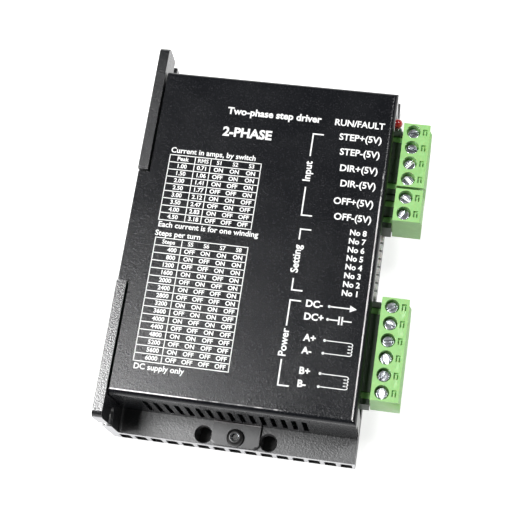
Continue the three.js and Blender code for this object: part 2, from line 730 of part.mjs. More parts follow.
const terminals = [['signal_4', signalFourY, 4], ['signal_2', signalTwoY, 2], ['power', powerY, 6]];
for (const [name, centreY, poles] of terminals) {
  place(`${name}_header`, makeHeader(poles), finishes.headerGreen(), 0, centreY, 0);
  place(`${name}_plug`, makePlug(poles), finishes.plugGreen(), 0, centreY, 0);
  pinPlaces(centreY, poles).forEach((y, i) => {
    const turn = THREE.MathUtils.degToRad(slotTurns[name][i]);
    place(`${name}_screw_${i + 1}`, makeTerminalScrew(), finishes.steel(), screwX, y, headSeat + gap, turn);
    place(`${name}_clamp_${i + 1}`, makeClamp(), finishes.brass(), screwX, y, cageBottom);
  });
}

place('switch_body', makeSwitchBody(), finishes.switchBody(), 0, switchY, 0);
sliderPlaces().forEach((y, i) => {
  const z = sliderMiddle - sliderTravel / 2;
  place(`switch_slider_${i + 1}`, makeSlider(), finishes.slider(), switchFace + sliderProud, switchY + y, z);
});

const lampX = bodyWidth + lampProtrusion - lampLength;
place('lamp_power', makeLamp(lampHeights[0]), finishes.greenLamp(), lampX, lampY, boardTop + lampHeights[0]);
place('lamp_alarm', makeLamp(lampHeights[1]), finishes.redLamp(), lampX, lampY, boardTop + lampHeights[1]);

driver.position.x = -plugFront / 2;

export default driver;
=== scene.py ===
# %% [markdown]
# # Two-phase stepper driver module
#
# The real object is a finned aluminium extrusion with a tall mounting flange, closed by a bent
# sheet cover. Green pluggable terminals, an eight-way slide switch and two small lamps look out
# along one side. The engineering model already holds every part at its real size, so this lesson
# only adds what the eye needs: rounded edges, smooth rounds, printed legends and real finishes.

# %% Load the engineering model
import math

import bmesh
import bpy
import numpy as np
from mathutils import Matrix, Vector


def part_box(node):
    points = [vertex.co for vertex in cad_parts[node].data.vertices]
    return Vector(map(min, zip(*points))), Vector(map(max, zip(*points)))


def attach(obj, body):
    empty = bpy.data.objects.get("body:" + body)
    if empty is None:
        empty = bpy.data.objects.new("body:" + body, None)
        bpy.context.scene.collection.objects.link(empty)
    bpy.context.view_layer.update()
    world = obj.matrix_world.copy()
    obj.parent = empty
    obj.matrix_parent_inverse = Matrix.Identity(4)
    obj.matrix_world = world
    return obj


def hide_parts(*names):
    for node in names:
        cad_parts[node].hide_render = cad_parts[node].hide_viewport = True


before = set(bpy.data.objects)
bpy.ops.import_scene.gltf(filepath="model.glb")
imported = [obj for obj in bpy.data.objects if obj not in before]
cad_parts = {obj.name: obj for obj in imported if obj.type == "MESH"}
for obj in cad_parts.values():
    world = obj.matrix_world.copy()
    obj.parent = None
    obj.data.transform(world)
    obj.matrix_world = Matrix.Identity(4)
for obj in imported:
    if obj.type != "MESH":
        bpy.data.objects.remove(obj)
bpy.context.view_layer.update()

# One millimetre, in metres.
MM = 0.001

# %% [markdown]
# ## Camera
#
# The module lies flat and is looked at from above, from its near right corner, through a long
# lens. Giving the camera a place, a point to look at and an upward direction is easier to read
# than three angles, and the turn follows from two cross products. The Standard view shows the
# colours as they are set, which a black object on white paper needs.

# %% Camera
camera_place = Vector((46.7, -113.3, 384.8)) * MM
camera_aim = Vector((-4.46, -1.67, 17.0)) * MM
camera_up = Vector((-0.114, 0.946, 0.303))
camera_lens = 87.1

forward = (camera_aim - camera_place).normalized()
right = forward.cross(camera_up).normalized()
upward = right.cross(forward)
turn = Matrix((right, upward, -forward)).transposed().to_4x4()

camera_data = bpy.data.cameras.new("camera")
camera_data.lens = camera_lens
camera = bpy.data.objects.new("camera", camera_data)
camera.matrix_world = Matrix.Translation(camera_place) @ turn
bpy.context.scene.collection.objects.link(camera)
bpy.context.scene.camera = camera
bpy.context.scene.view_settings.view_transform = "Standard"
print("camera is", round((camera_aim - camera_place).length, 3), "m from its aim")

# %% [markdown]
# ## Floor
#
# The module lies on a light table: white paper with light coming through it, which the upright
# faces mirror. Under the heatsink the paper is painted dark, as painted shade, so the mouths of the
# grooves and the holes in the ledge look dark. A dark card on a white plane would do the same, but
# in one mesh of five faces with two kinds of paper no two sheets share a height.

# %% Floor
def paper(name, tone, glow):
    """White paper of a light table: a grey tone and the light that comes through it."""
    material = bpy.data.materials.new(name)
    material.use_nodes = True
    shader = material.node_tree.nodes["Principled BSDF"]
    shader.inputs["Base Color"].default_value = (tone, tone, tone, 1)
    shader.inputs["Roughness"].default_value = 0.9
    shader.inputs["Emission Color"].default_value = (1, 1, 1, 1)
    shader.inputs["Emission Strength"].default_value = glow
    return material


floor_half = 3.0
sink_low, sink_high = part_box("heatsink")
sink_x, sink_y = (sink_low.x, sink_high.x), (sink_low.y, sink_high.y)
unit_square = ((0, 0), (1, 0), (1, 1), (0, 1))
shaded = [(sink_x[i], sink_y[j], 0) for i, j in unit_square]
rim = [(floor_half * (2 * i - 1), floor_half * (2 * j - 1), 0) for i, j in unit_square]
floor_faces = [(0, 1, 2, 3)] + [(i, 4 + i, 4 + (i + 1) % 4, (i + 1) % 4) for i in range(4)]
floor_mesh = bpy.data.meshes.new("floor")
floor_mesh.from_pydata(shaded + rim, [], floor_faces)
# The paper under the heatsink is painted shade: a dark tone with no glow.
floor_mesh.materials.append(paper("paper_painted_shade", tone=0.05, glow=0.0))
floor_mesh.materials.append(paper("paper_lit_through", tone=0.55, glow=0.80))
for face in floor_mesh.polygons[1:]:
    face.material_index = 1
floor = bpy.data.objects.new("floor", floor_mesh)
bpy.context.scene.collection.objects.link(floor)
print("floor:", len(floor_mesh.polygons), "faces,", 2 * floor_half, "m wide")

# %% [markdown]
# ## Lamps and surroundings
#
# Black powder coat shows only what it mirrors, so the studio is planned from the mirror
# directions. A wide lamp over the left side is mirrored by the near left of the cover and fades
# towards the far right. A smaller and weaker one over the far right puts a shine on the edges
# there. The surroundings are white at the horizon, for the upright faces, and dim overhead, so
# the far part of the cover stays black. A picture of a studio could light it too, but two lamps
# and a fade are easier to steer.

# %% Lamps
def soft_lamp(name, place, size, power, aim=(0, 0, 0.02)):
    """A square lamp at a place in metres, turned towards the aim point."""
    data = bpy.data.lights.new(name, "AREA")
    data.shape = "SQUARE"
    data.size = size
    data.energy = power
    lamp = bpy.data.objects.new(name, data)
    lamp.location = place
    lamp.rotation_euler = (Vector(aim) - Vector(place)).to_track_quat("-Z", "Y").to_euler()
    bpy.context.scene.collection.objects.link(lamp)
    return lamp


key_lamp = soft_lamp("key_lamp", place=(-0.50, -0.03, 1.17), size=0.42, power=17.0)
edge_lamp = soft_lamp("edge_lamp", place=(0.48, 0.30, 1.15), size=0.24, power=6.0)
print("lamps:", key_lamp.name, edge_lamp.name)

# %% Surroundings
horizon_light, overhead_light = 1.0, 0.07
fade_begins, fade_ends = 0.12, 0.42
world = bpy.data.worlds.new("studio")
bpy.context.scene.world = world
world.use_nodes = True
sky = world.node_tree
ways = sky.nodes.new("ShaderNodeTexCoord")
split = sky.nodes.new("ShaderNodeSeparateXYZ")
fade = sky.nodes.new("ShaderNodeMapRange")
fade.interpolation_type = "SMOOTHSTEP"
fade.inputs["From Min"].default_value = fade_begins
fade.inputs["From Max"].default_value = fade_ends
fade.inputs["To Min"].default_value = horizon_light
fade.inputs["To Max"].default_value = overhead_light
sky.links.new(ways.outputs["Generated"], split.inputs["Vector"])
sky.links.new(split.outputs["Z"], fade.inputs["Value"])
sky.links.new(fade.outputs["Result"], sky.nodes["Background"].inputs["Strength"])
sky.nodes["Background"].inputs["Color"].default_value = (1, 1, 1, 1)
print("surroundings:", horizon_light, "at the horizon,", overhead_light, "overhead")

# %% [markdown]
# ## Shared surface effects
#
# Four effects return in the finishes: a fine grain, slow smudges, rubbed patches and the lines
# of a saw. Each is made once as a node group that puts out a value over the surface, and every
# material sets its own sizes. Copying the nodes into each material would work too, but then a
# change has to be made many times. All of them read Object coordinates, which here are metres
# on the part.

# %% Node helpers
def effect_group(name, inputs, outputs):
    """An empty shader node group with named float inputs and float outputs."""
    tree = bpy.data.node_groups.new(name, "ShaderNodeTree")
    for label, value in inputs.items():
        socket = tree.interface.new_socket(label, in_out="INPUT", socket_type="NodeSocketFloat")
        socket.default_value = value
    for label in outputs:
        tree.interface.new_socket(label, in_out="OUTPUT", socket_type="NodeSocketFloat")
    return tree, tree.nodes.new("NodeGroupInput"), tree.nodes.new("NodeGroupOutput")


def noise_of_size(tree, size_socket, detail, stretch=(1, 1, 1)):
    """Noise over Object coordinates whose lumps are as wide as the size socket says, in mm."""
    place = tree.nodes.new("ShaderNodeTexCoord")
    mapping = tree.nodes.new("ShaderNodeMapping")
    mapping.inputs["Scale"].default_value = stretch
    per_metre = tree.nodes.new("ShaderNodeMath")
    per_metre.operation = "DIVIDE"
    per_metre.inputs[0].default_value = 1 / MM
    noise = tree.nodes.new("ShaderNodeTexNoise")
    noise.inputs["Detail"].default_value = detail
    tree.links.new(place.outputs["Object"], mapping.inputs["Vector"])
    tree.links.new(mapping.outputs["Vector"], noise.inputs["Vector"])
    tree.links.new(size_socket, per_metre.inputs[1])
    tree.links.new(per_metre.outputs["Value"], noise.inputs["Scale"])
    return noise.outputs["Fac"]


def spread(tree, value, low, high, to_low=0.0, to_high=1.0):
    """The value between low and high, stretched to run from to_low to to_high."""
    ramp = tree.nodes.new("ShaderNodeMapRange")
    ramp.inputs["From Min"].default_value = low
    ramp.inputs["From Max"].default_value = high
    ramp.inputs["To Min"].default_value = to_low
    ramp.inputs["To Max"].default_value = to_high
    tree.links.new(value, ramp.inputs["Value"])
    return ramp.outputs["Result"]


print("noise scale for lumps 1 mm wide:", 1 / MM)

# %% The four effects
grain, grain_in, grain_out = effect_group("fine_grain", {"Size mm": 0.4}, ["Height", "Fleck"])
grain_noise = noise_of_size(grain, grain_in.outputs["Size mm"], detail=3)
grain.links.new(grain_noise, grain_out.inputs["Height"])
grain.links.new(spread(grain, grain_noise, low=0.54, high=0.68), grain_out.inputs["Fleck"])

smudge, smudge_in, smudge_out = effect_group("smudges", {"Size mm": 20.0}, ["Mask"])
smudge_noise = noise_of_size(smudge, smudge_in.outputs["Size mm"], detail=4)
smudge.links.new(spread(smudge, smudge_noise, low=0.35, high=0.65), smudge_out.inputs["Mask"])

rub, rub_in, rub_out = effect_group("rubbed_patches", {"Size mm": 3.0}, ["Mask"])
rub_noise = noise_of_size(rub, rub_in.outputs["Size mm"], detail=6)
rub.links.new(spread(rub, rub_noise, low=0.48, high=0.60), rub_out.inputs["Mask"])

lines, lines_in, lines_out = effect_group("saw_lines", {"Size mm": 0.3}, ["Height"])
lines_noise = noise_of_size(lines, lines_in.outputs["Size mm"], detail=2, stretch=(0.04, 1, 1))
lines.links.new(lines_noise, lines_out.inputs["Height"])
print("effects:", [g.name for g in bpy.data.node_groups])

# %% [markdown]
# ## Finishes
#
# One recipe covers every finish: a colour that drifts between two tones, a roughness that drifts
# with the smudges, and a bump from the grain. The recipe takes the values of each real finish,
# so powder coat, moulded plastic, plated steel and aluminium differ in numbers and not in kind.

# %% The recipe
def tint(tree, mask, low, high):
    """Colour that goes from low to high as the mask goes from 0 to 1."""
    mix = tree.nodes.new("ShaderNodeMix")
    mix.data_type = "RGBA"
    mix.inputs["A"].default_value = (*low, 1)
    mix.inputs["B"].default_value = (*high, 1)
    tree.links.new(mask, mix.inputs["Factor"])
    return mix.outputs["Result"]


def use_effect(tree, group, size):
    """One of the shared effects, placed in a material with its own size in mm."""
    effect = tree.nodes.new("ShaderNodeGroup")
    effect.node_tree = group
    effect.inputs["Size mm"].default_value = size
    return effect


def finish(name, low, high, rough, grain_size, grain_depth, metal=0.0, fleck=None, fleck_tone=None,
           smudge_size=14.0, bump=None, coat=0.0, soft=0.0, gloss=0.5):
    """A finish: low and high tone, roughness range, grain size and depth in mm, and what else it has.

    The tone and the roughness both go from low to high with the smudges. A fleck is an effect, its
    size in mm and its output, and shows in its own tone. Bump is the effect that replaces the grain.
    """
    material = bpy.data.materials.new(name)
    material.use_nodes = True
    tree = material.node_tree
    shader = tree.nodes["Principled BSDF"]
    shader.inputs["Metallic"].default_value = metal
    shader.inputs["Specular IOR Level"].default_value = gloss
    shader.inputs["Coat Weight"].default_value = coat
    shader.inputs["Coat Roughness"].default_value = 0.12
    shader.inputs["Subsurface Weight"].default_value = soft
    shader.inputs["Subsurface Scale"].default_value = 1.5 * MM
    smudges = use_effect(tree, smudge, smudge_size)
    grains = use_effect(tree, bump or grain, grain_size)
    colour = tint(tree, smudges.outputs["Mask"], low, high)
    if fleck is not None:
        effect, size, output = fleck
        flecks = use_effect(tree, effect, size)
        mix = tree.nodes.new("ShaderNodeMix")
        mix.data_type = "RGBA"
        mix.inputs["B"].default_value = (*fleck_tone, 1)
        tree.links.new(flecks.outputs[output], mix.inputs["Factor"])
        tree.links.new(colour, mix.inputs["A"])
        colour = mix.outputs["Result"]
    tree.links.new(colour, shader.inputs["Base Color"])
    roughness = spread(tree, smudges.outputs["Mask"], 0, 1, *rough)
    tree.links.new(roughness, shader.inputs["Roughness"])
    height = tree.nodes.new("ShaderNodeBump")
    height.inputs["Distance"].default_value = grain_depth * MM
    tree.links.new(grains.outputs["Height"], height.inputs["Height"])
    tree.links.new(height.outputs["Normal"], shader.inputs["Normal"])
    return material


print("effects a finish can use:", grain.name, smudge.name, rub.name, lines.name)

# %% [markdown]
# ### Metal finishes
#
# The cover has a fine, half-glossy powder coat and the extrusion a coarser, greyer one. The rounded
# edges are rubbed thin, and the sawn ends are bare aluminium. The bright line along the top bends
# of the cover is painted highlight, in a light grey finish where it is brightest and in the rubbed
# finish where it fades; the tabs' upper edges have the same light grey finish. Rubbing and
# highlight could be a mask inside one material, but they follow the edges here, so each is a
# finish of its own that the rounded edges are given. The terminal screws are plated, and some have
# a painted highlight in their slots, a brighter steel finish. The cover's screws are black oxide.

# %% Metal finishes
powder_coat = finish("powder_coat", (0.0040, 0.0046, 0.0062), (0.0062, 0.0068, 0.0085), (0.19, 0.23),
                     0.40, 0.055, fleck=(grain, 0.40, "Fleck"), fleck_tone=(0.016, 0.016, 0.019),
                     gloss=0.4)
cast_coat = finish("powder_coat_coarse", (0.010, 0.0105, 0.012), (0.016, 0.0165, 0.018), (0.40, 0.46),
                   0.55, 0.09, fleck=(grain, 0.45, "Fleck"), fleck_tone=(0.045, 0.046, 0.049), gloss=1.0)
flange_coat = finish("powder_coat_flange", (0.0065, 0.007, 0.0085), (0.010, 0.0105, 0.012), (0.24, 0.28),
                     0.50, 0.07, fleck=(grain, 0.45, "Fleck"), fleck_tone=(0.030, 0.030, 0.032), gloss=1.0)
tab_coat = finish("powder_coat_tab", (0.010, 0.0105, 0.012), (0.018, 0.0185, 0.020), (0.32, 0.38),
                  0.35, 0.022, fleck=(grain, 0.35, "Fleck"), fleck_tone=(0.035, 0.035, 0.038), gloss=0.7)
# Rubbed edges, and the fainter part of the painted highlight along the cover's top bends.
rubbed_coat_and_highlight = finish("powder_coat_rubbed_and_painted_highlight", (0.04, 0.04, 0.043), (0.08, 0.08, 0.083), (0.24, 0.34),
                     0.35, 0.02, fleck=(rub, 2.5, "Mask"), fleck_tone=(0.40, 0.39, 0.39))
# Light grey finish: the brightest part of the painted highlight along the cover's top bends, and the tabs'
# upper edges.
worn_coat_and_highlight = finish("powder_coat_worn_and_painted_highlight", (0.36, 0.34, 0.34), (0.58, 0.56, 0.56), (0.28, 0.38),
                   0.35, 0.02, metal=0.3, smudge_size=8)
bare_metal = finish("saw_cut_aluminium", (0.40, 0.40, 0.42), (0.52, 0.52, 0.53), (0.34, 0.46),
                    0.25, 0.03, metal=0.85, bump=lines, smudge_size=5)
plated_steel = finish("plated_steel", (0.50, 0.53, 0.57), (0.62, 0.65, 0.69), (0.19, 0.25),
                      0.35, 0.02, metal=1.0, smudge_size=1.5)
# Bright, rough steel: a painted highlight in the slots of some terminal screws.
slot_highlight_steel = finish("slot_highlight_steel", (0.70, 0.72, 0.72), (0.84, 0.85, 0.84), (0.46, 0.56),
                    0.3, 0.02, metal=0.7, smudge_size=0.8)
plated_brass = finish("plated_brass", (0.62, 0.52, 0.28), (0.74, 0.64, 0.38), (0.22, 0.34),
                      0.3, 0.015, metal=1.0, smudge_size=1.5)
black_steel = finish("black_oxide", (0.012, 0.012, 0.013), (0.030, 0.029, 0.028), (0.28, 0.40),
                     0.25, 0.02, metal=0.3, smudge_size=1.2)
print("metal finishes:", [m.name for m in bpy.data.materials if not m.name.startswith("paper")])

# %% [markdown]
# ### Plastic, ink and board finishes
#
# The plugs are moulded in a light green and the headers in a dark green, which is darkened further
# here as painted shade for the shade between the cover and the plugs; both let a little light in
# below the surface. The lamps and the capacitors' sleeves have a clear coat. The board's green mask
# shows faint patches of copper beneath it, which are the rubbed patches again in another colour.
# The recipe is the same as for metal, because only the values differ.

# %% Plastic, ink and board finishes
plug_green = finish("plug_green", (0.240, 0.490, 0.155), (0.265, 0.525, 0.175), (0.38, 0.48),
                    0.5, 0.012, soft=0.12, smudge_size=6, fleck=(grain, 1.2, "Fleck"),
                    fleck_tone=(0.29, 0.55, 0.19))
# The headers' tone is darker than their own dark green: painted shade for the shade between the cover and
# the plugs.
header_green = finish("header_green", (0.006, 0.022, 0.004), (0.010, 0.032, 0.007), (0.40, 0.50),
                      0.5, 0.012, soft=0.05, smudge_size=5)
ink = finish("legend_ink", (0.83, 0.83, 0.82), (0.90, 0.90, 0.89), (0.50, 0.60), 0.25, 0.01,
             smudge_size=4)
switch_violet = finish("switch_violet", (0.020, 0.012, 0.050), (0.030, 0.018, 0.070), (0.30, 0.42),
                       0.3, 0.01, smudge_size=3)
slider_white = finish("slider_white", (0.80, 0.80, 0.77), (0.88, 0.88, 0.85), (0.34, 0.44), 0.3, 0.01,
                      soft=0.1, smudge_size=1)
solder_mask = finish("solder_mask", (0.010, 0.080, 0.030), (0.018, 0.120, 0.045), (0.22, 0.32),
                     0.8, 0.03, fleck=(rub, 1.6, "Mask"), fleck_tone=(0.024, 0.15, 0.055), coat=0.4)
chip_epoxy = finish("chip_epoxy", (0.012, 0.012, 0.013), (0.022, 0.022, 0.023), (0.50, 0.62), 0.2, 0.02,
                    smudge_size=3)
pad_silicone = finish("pad_silicone", (0.30, 0.32, 0.35), (0.36, 0.38, 0.42), (0.70, 0.80), 0.5, 0.04)
can_sleeve = finish("can_sleeve", (0.012, 0.018, 0.040), (0.020, 0.030, 0.060), (0.18, 0.28), 0.6, 0.01,
                    smudge_size=5, coat=0.3)
ferrite = finish("ferrite", (0.035, 0.035, 0.038), (0.060, 0.060, 0.064), (0.60, 0.72), 0.25, 0.04)
lamp_red = finish("lamp_red", (0.42, 0.012, 0.014), (0.52, 0.018, 0.020), (0.08, 0.14), 0.8, 0.004,
                  smudge_size=1, coat=0.6, soft=0.15)
lamp_green = finish("lamp_green", (0.008, 0.045, 0.012), (0.012, 0.060, 0.018), (0.08, 0.14), 0.8, 0.004,
                    smudge_size=1, coat=0.6, soft=0.15)
print("finishes:", len(bpy.data.materials))


# %% [markdown]
# ## Making surfaces
#
# Each new piece is made of surfaces over a grid of two parameters. A grid of points turns into
# quads by index arithmetic, several grids are welded into one skin, and the whole array goes
# into the mesh in one call. Blender's own cylinders and boxes would be quicker to add, but a
# profile written as points says exactly what is turned or extruded.

# %% Surface helpers
def grid_quads(rows, columns, start=0):
    """Quads of a grid of rows by columns points: each joins point (i, j) to its next neighbours."""
    index = np.arange(rows * columns).reshape(rows, columns) + start
    corners = (index[:-1, :-1], index[1:, :-1], index[1:, 1:], index[:-1, 1:])
    return np.stack([c.ravel() for c in corners], axis=1)


def skin(name, grids, masks=None, weld=0.002 * MM, outwards=True):
    """One object from several grids of points, without the masked quads and with seams welded."""
    points, faces, start = [], [], 0
    for number, grid in enumerate(grids):
        rows, columns, _ = grid.shape
        quads = grid_quads(rows, columns, start)
        if masks is not None and masks[number] is not None:
            quads = quads[masks[number].ravel()]
        points.append(grid.reshape(-1, 3))
        faces.append(quads)
        start += rows * columns
    mesh = bpy.data.meshes.new(name)
    mesh.from_pydata(np.concatenate(points), [], np.concatenate(faces))
    shell = bmesh.new()
    shell.from_mesh(mesh)
    bmesh.ops.remove_doubles(shell, verts=shell.verts, dist=weld)
    bmesh.ops.dissolve_degenerate(shell, dist=weld, edges=shell.edges)
    if outwards:
        bmesh.ops.recalc_face_normals(shell, faces=shell.faces)
    loose = [v for v in shell.verts if not v.link_faces]
    bmesh.ops.delete(shell, geom=loose, context="VERTS")
    shell.to_mesh(mesh)
    shell.free()
    piece = bpy.data.objects.new(name, mesh)
    bpy.context.scene.collection.objects.link(piece)
    return piece


def turned(profile, centre=(0, 0, 0), segments=40, axis="z"):
    """Surface of revolution: every (radius, height) of the profile, swept round the axis."""
    profile = np.asarray(profile, float)
    angle = np.linspace(0, 2 * math.pi, segments + 1)
    radius, height = profile[:, 0, None], profile[:, 1, None]
    u = radius * np.cos(angle)
    v = radius * np.sin(angle)
    w = np.broadcast_to(height, u.shape)
    order = {"z": (u, v, w), "x": (w, u, v)}[axis]
    return np.stack(order, axis=-1) + np.asarray(centre)


def prism(outline, low, high, axis="z"):
    """Closed bar: an outline of (u, v) points carried from low to high along the axis.

    The first and the last row shrink to the outline's middle, which closes both ends.
    """
    outline = np.asarray(outline, float)
    ring = np.vstack([outline, outline[:1]])
    u, v = ring[:, 0], ring[:, 1]
    centre = outline.mean(axis=0)
    rows = []
    for share, level in ((0, low), (1, low), (1, high), (0, high)):
        rows.append(np.stack([centre[0] + (u - centre[0]) * share,
                              centre[1] + (v - centre[1]) * share,
                              np.full_like(u, level)], axis=-1))
    grid = np.stack(rows)
    return {"z": grid, "x": grid[..., [2, 0, 1]], "y": grid[..., [0, 2, 1]]}[axis]


def rectangle(u0, u1, v0, v1):
    """Four corners of a rectangle, anticlockwise."""
    return [(u0, v0), (u1, v0), (u1, v1), (u0, v1)]


def arc(centre, radius, start, end, steps):
    """Points on a circle from the start angle to the end angle, in degrees."""
    angle = np.radians(np.linspace(start, end, steps + 1))
    return np.stack([centre[0] + radius * np.cos(angle), centre[1] + radius * np.sin(angle)], axis=1)


print("a grid of 3 by 4 points has", len(grid_quads(3, 4)), "quads")

# %% [markdown]
# ### Cutting, rounding and handing over
#
# Where the engineering shape is right it is copied, cut again with smooth tools, and its sharp
# edges are rounded, because a real edge always catches a line of light. The modifiers are applied
# at once, so every piece is a plain mesh when it is handed over, and shows the same anywhere.

# %% Cutting and rounding
def carve(piece, cutters):
    """Takes the cutters out of the piece, then deletes them."""
    for cutter in cutters:
        boolean = piece.modifiers.new("cut", "BOOLEAN")
        boolean.operation = "DIFFERENCE"
        boolean.solver = "EXACT"
        boolean.object = cutter
    settle(piece)
    for cutter in cutters:
        bpy.data.objects.remove(cutter)
    return piece


def settle(piece):
    """Replaces the piece's mesh by what its modifiers make of it."""
    shown = piece.evaluated_get(bpy.context.evaluated_depsgraph_get())
    mesh = bpy.data.meshes.new_from_object(shown)
    piece.modifiers.clear()
    piece.data = mesh


def copy_of(node, name):
    """A copy of an engineering node with its triangles merged back into flat faces."""
    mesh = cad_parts[node].data.copy()
    mesh.materials.clear()
    shell = bmesh.new()
    shell.from_mesh(mesh)
    bmesh.ops.remove_doubles(shell, verts=shell.verts, dist=0.001 * MM)
    bmesh.ops.dissolve_limit(shell, angle_limit=math.radians(1), verts=shell.verts, edges=shell.edges)
    shell.to_mesh(mesh)
    shell.free()
    piece = bpy.data.objects.new(name, mesh)
    bpy.context.scene.collection.objects.link(piece)
    return piece


def round_edges(piece, width, edge_slot=None, limit=38, segments=2):
    """Rounds every edge sharper than the limit; the rounding may have a finish of its own."""
    bevel = piece.modifiers.new("rounding", "BEVEL")
    bevel.width = width * MM
    bevel.segments = segments
    bevel.limit_method = "ANGLE"
    bevel.angle_limit = math.radians(limit)
    bevel.use_clamp_overlap = True
    if edge_slot is not None:
        bevel.material = edge_slot
    settle(piece)
    piece.data.shade_smooth()
    even = piece.modifiers.new("even_shading", "WEIGHTED_NORMAL")
    even.keep_sharp = True
    settle(piece)


def hand_over(piece, body, slot, *nodes):
    """Makes the piece ride on a body and stand for engineering nodes; its slot argument is not used."""
    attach(piece, body)
    if nodes:
        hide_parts(*nodes)
    print(piece.name, len(piece.data.polygons), "faces")


def middle(node):
    """Middle of a node's box."""
    low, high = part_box(node)
    return (low + high) / 2


# %% [markdown]
# ## Heatsink
#
# The heatsink is one length of extrusion: fins below, a flange along one side, ends cut by a saw.
# The engineering shape is right, so a copy of it is cut again with smooth round tools and its
# edges are rounded. It could be extruded anew from a profile, but then the fins would be given
# twice. The saw-cut ends are bare aluminium, which is chosen by where a face looks.

# %% Heatsink sizes and cutters
flange_thickness, fixing_inset = 3.0 * MM, 3.0 * MM
flange_inner = sink_low.x + flange_thickness
fixing_y = sink_high.y - fixing_inset
slot_centre_z, slot_radius, slot_run = 21.5 * MM, 2.27 * MM, 4 * MM
slot_tool_reach = 0.7 * MM
ledge_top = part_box("cover")[0].z
ledge_hole_radius, ledge_hole_offset = 2.53 * MM, 10 * MM
screw_x = middle("cover_screw_near").x


def round_tool(name, x, y, radius, low, high, lead_in=0.25):
    """Cutter for a round hole whose mouth at the top has a small lead-in."""
    profile = [(0, low), (radius, low), (radius, high - lead_in * MM), (radius + lead_in * MM, high),
               (radius + lead_in * MM, high + MM), (0, high + MM)]
    return skin(name, [turned(profile, (x, y, 0))])


def slot_tool(side):
    """Cutter that smooths a flange slot: a half circle at its closed end, open past the end face."""
    open_end = fixing_y + slot_run
    outline = np.array([*arc((fixing_y, slot_centre_z), slot_radius, 90, 270, 24),
                        (open_end, slot_centre_z - slot_radius), (open_end, slot_centre_z + slot_radius)])
    if side < 0:
        outline = outline[::-1] * (-1, 1)
    return skin("slot_tool", [prism(outline, sink_low.x - MM, flange_inner + slot_tool_reach, "x")])


print("slots", round(2 * fixing_y / MM, 1), "mm apart")

# %% Heatsink
def make_heatsink():
    """Copy of the extrusion with smooth holes, rounded edges and bare sawn ends."""
    piece = copy_of("heatsink", "heatsink_finished")
    cutters = [slot_tool(side) for side in (-1, 1)]
    for side in (-1, 1):
        for offset in (-ledge_hole_offset, ledge_hole_offset):
            cutters.append(round_tool("ledge_tool", screw_x + offset, side * fixing_y,
                                      ledge_hole_radius, sink_low.z - MM, ledge_top))
    carve(piece, cutters)
    for material in (cast_coat, rubbed_coat_and_highlight, bare_metal, flange_coat):
        piece.data.materials.append(material)
    coat_slot, rubbed_and_highlight_slot, bare_slot, flange_slot = range(4)
    edge_width, margin = 0.16, 0.01
    round_edges(piece, edge_width, edge_slot=rubbed_and_highlight_slot)
    for face in piece.data.polygons:
        from_end = sink_high.y - abs(face.center.y)
        if face.material_index == coat_slot and face.center.x < flange_inner + 0.1 * MM:
            face.material_index = flange_slot
        if from_end < (edge_width + margin) * MM and abs(face.normal.y) > 0.3:
            face.material_index = bare_slot
    hand_over(piece, "root", "powder_coat", "heatsink")


make_heatsink()

# %% [markdown]
# ## Cover
#
# The cover is one sheet, bent down on three sides. Its outer skin is a function of two
# parameters: one walks across the top and down the terminal side, the other walks up the near
# wall, along the top and down the far wall. The lower of the two heights wins, which makes the
# mitred corners. Quads over openings are left out, and Solidify gives the sheet its thickness.
# Boolean could cut the openings too, but here each is one rule about which quads to keep, and
# the quads stay regular.

# %% Cover sizes
sheet = 1.2 * MM
bend = 1.6 * MM
bend_steps = 8
cover_low, cover_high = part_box("cover")
cover_top = cover_high.z
cover_left = flange_inner + 0.5 * MM
cover_right = cover_high.x
wall_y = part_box("pcb")[1].y + 2.0 * MM
wall_foot = ledge_top + 0.3 * MM
window_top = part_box("lamp_alarm")[1].z + 0.4 * MM
window_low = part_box("power_header")[0].y - 1.5 * MM
window_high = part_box("lamp_alarm")[1].y + 0.75 * MM
vent_low, vent_high = 12.0 * MM, cover_top - 6.4 * MM
vent_pitch, vent_width, vent_count = 3.15 * MM, 1.5 * MM, 16
vent_middle = -6.9 * MM
tongue_half = 17.5 * MM
tab_half, tab_tip, tab_fold = 7.3 * MM, cover_high.y, 0.5 * MM
tab_corner = 1.5 * MM
vent_edges = vent_middle + (np.arange(vent_count) - (vent_count - 1) / 2)[:, None] * vent_pitch
vent_edges = (vent_edges + np.array([-vent_width / 2, vent_width / 2])).ravel()
hair = MM / 100
print("vents:", vent_count, "in each end wall, over", round(np.ptp(vent_edges) / MM, 1), "mm")


# %% Two walks over the cover
def cover_paths():
    """The two walks over the cover, as (x, height) and (y, height) points."""
    curve = np.radians(np.linspace(0, 90, bend_steps + 1))
    across = np.unique(np.concatenate([[cover_low.x, cover_left, screw_x - tab_half, screw_x + tab_half],
                                       vent_edges, np.linspace(10 * MM, cover_right - bend, 6)]))
    x = np.concatenate([across, cover_right - bend + bend * np.sin(curve[1:]), [cover_right] * 2])
    x_height = np.concatenate([np.full(len(across), cover_top), cover_top - bend + bend * np.cos(curve[1:]),
                               [window_top, wall_foot]])
    top = np.unique(np.concatenate([np.linspace(-wall_y + bend, wall_y - bend, 9),
                                    [-tongue_half, tongue_half, window_low, window_high]]))
    climb = [wall_foot, cover_low.z + sheet + tab_fold, vent_low, vent_high]
    near = np.concatenate([np.full(4, -wall_y), -wall_y + bend - bend * np.sin(curve[::-1][:-1])])
    near_height = np.concatenate([climb, cover_top - bend + bend * np.cos(curve[::-1][:-1])])
    y = np.concatenate([near, top, -near[::-1]])
    y_height = np.concatenate([near_height, np.full(len(top), cover_top), near_height[::-1]])
    return x, x_height, y, y_height


print("points along the two walks:", len(cover_paths()[0]), len(cover_paths()[2]))

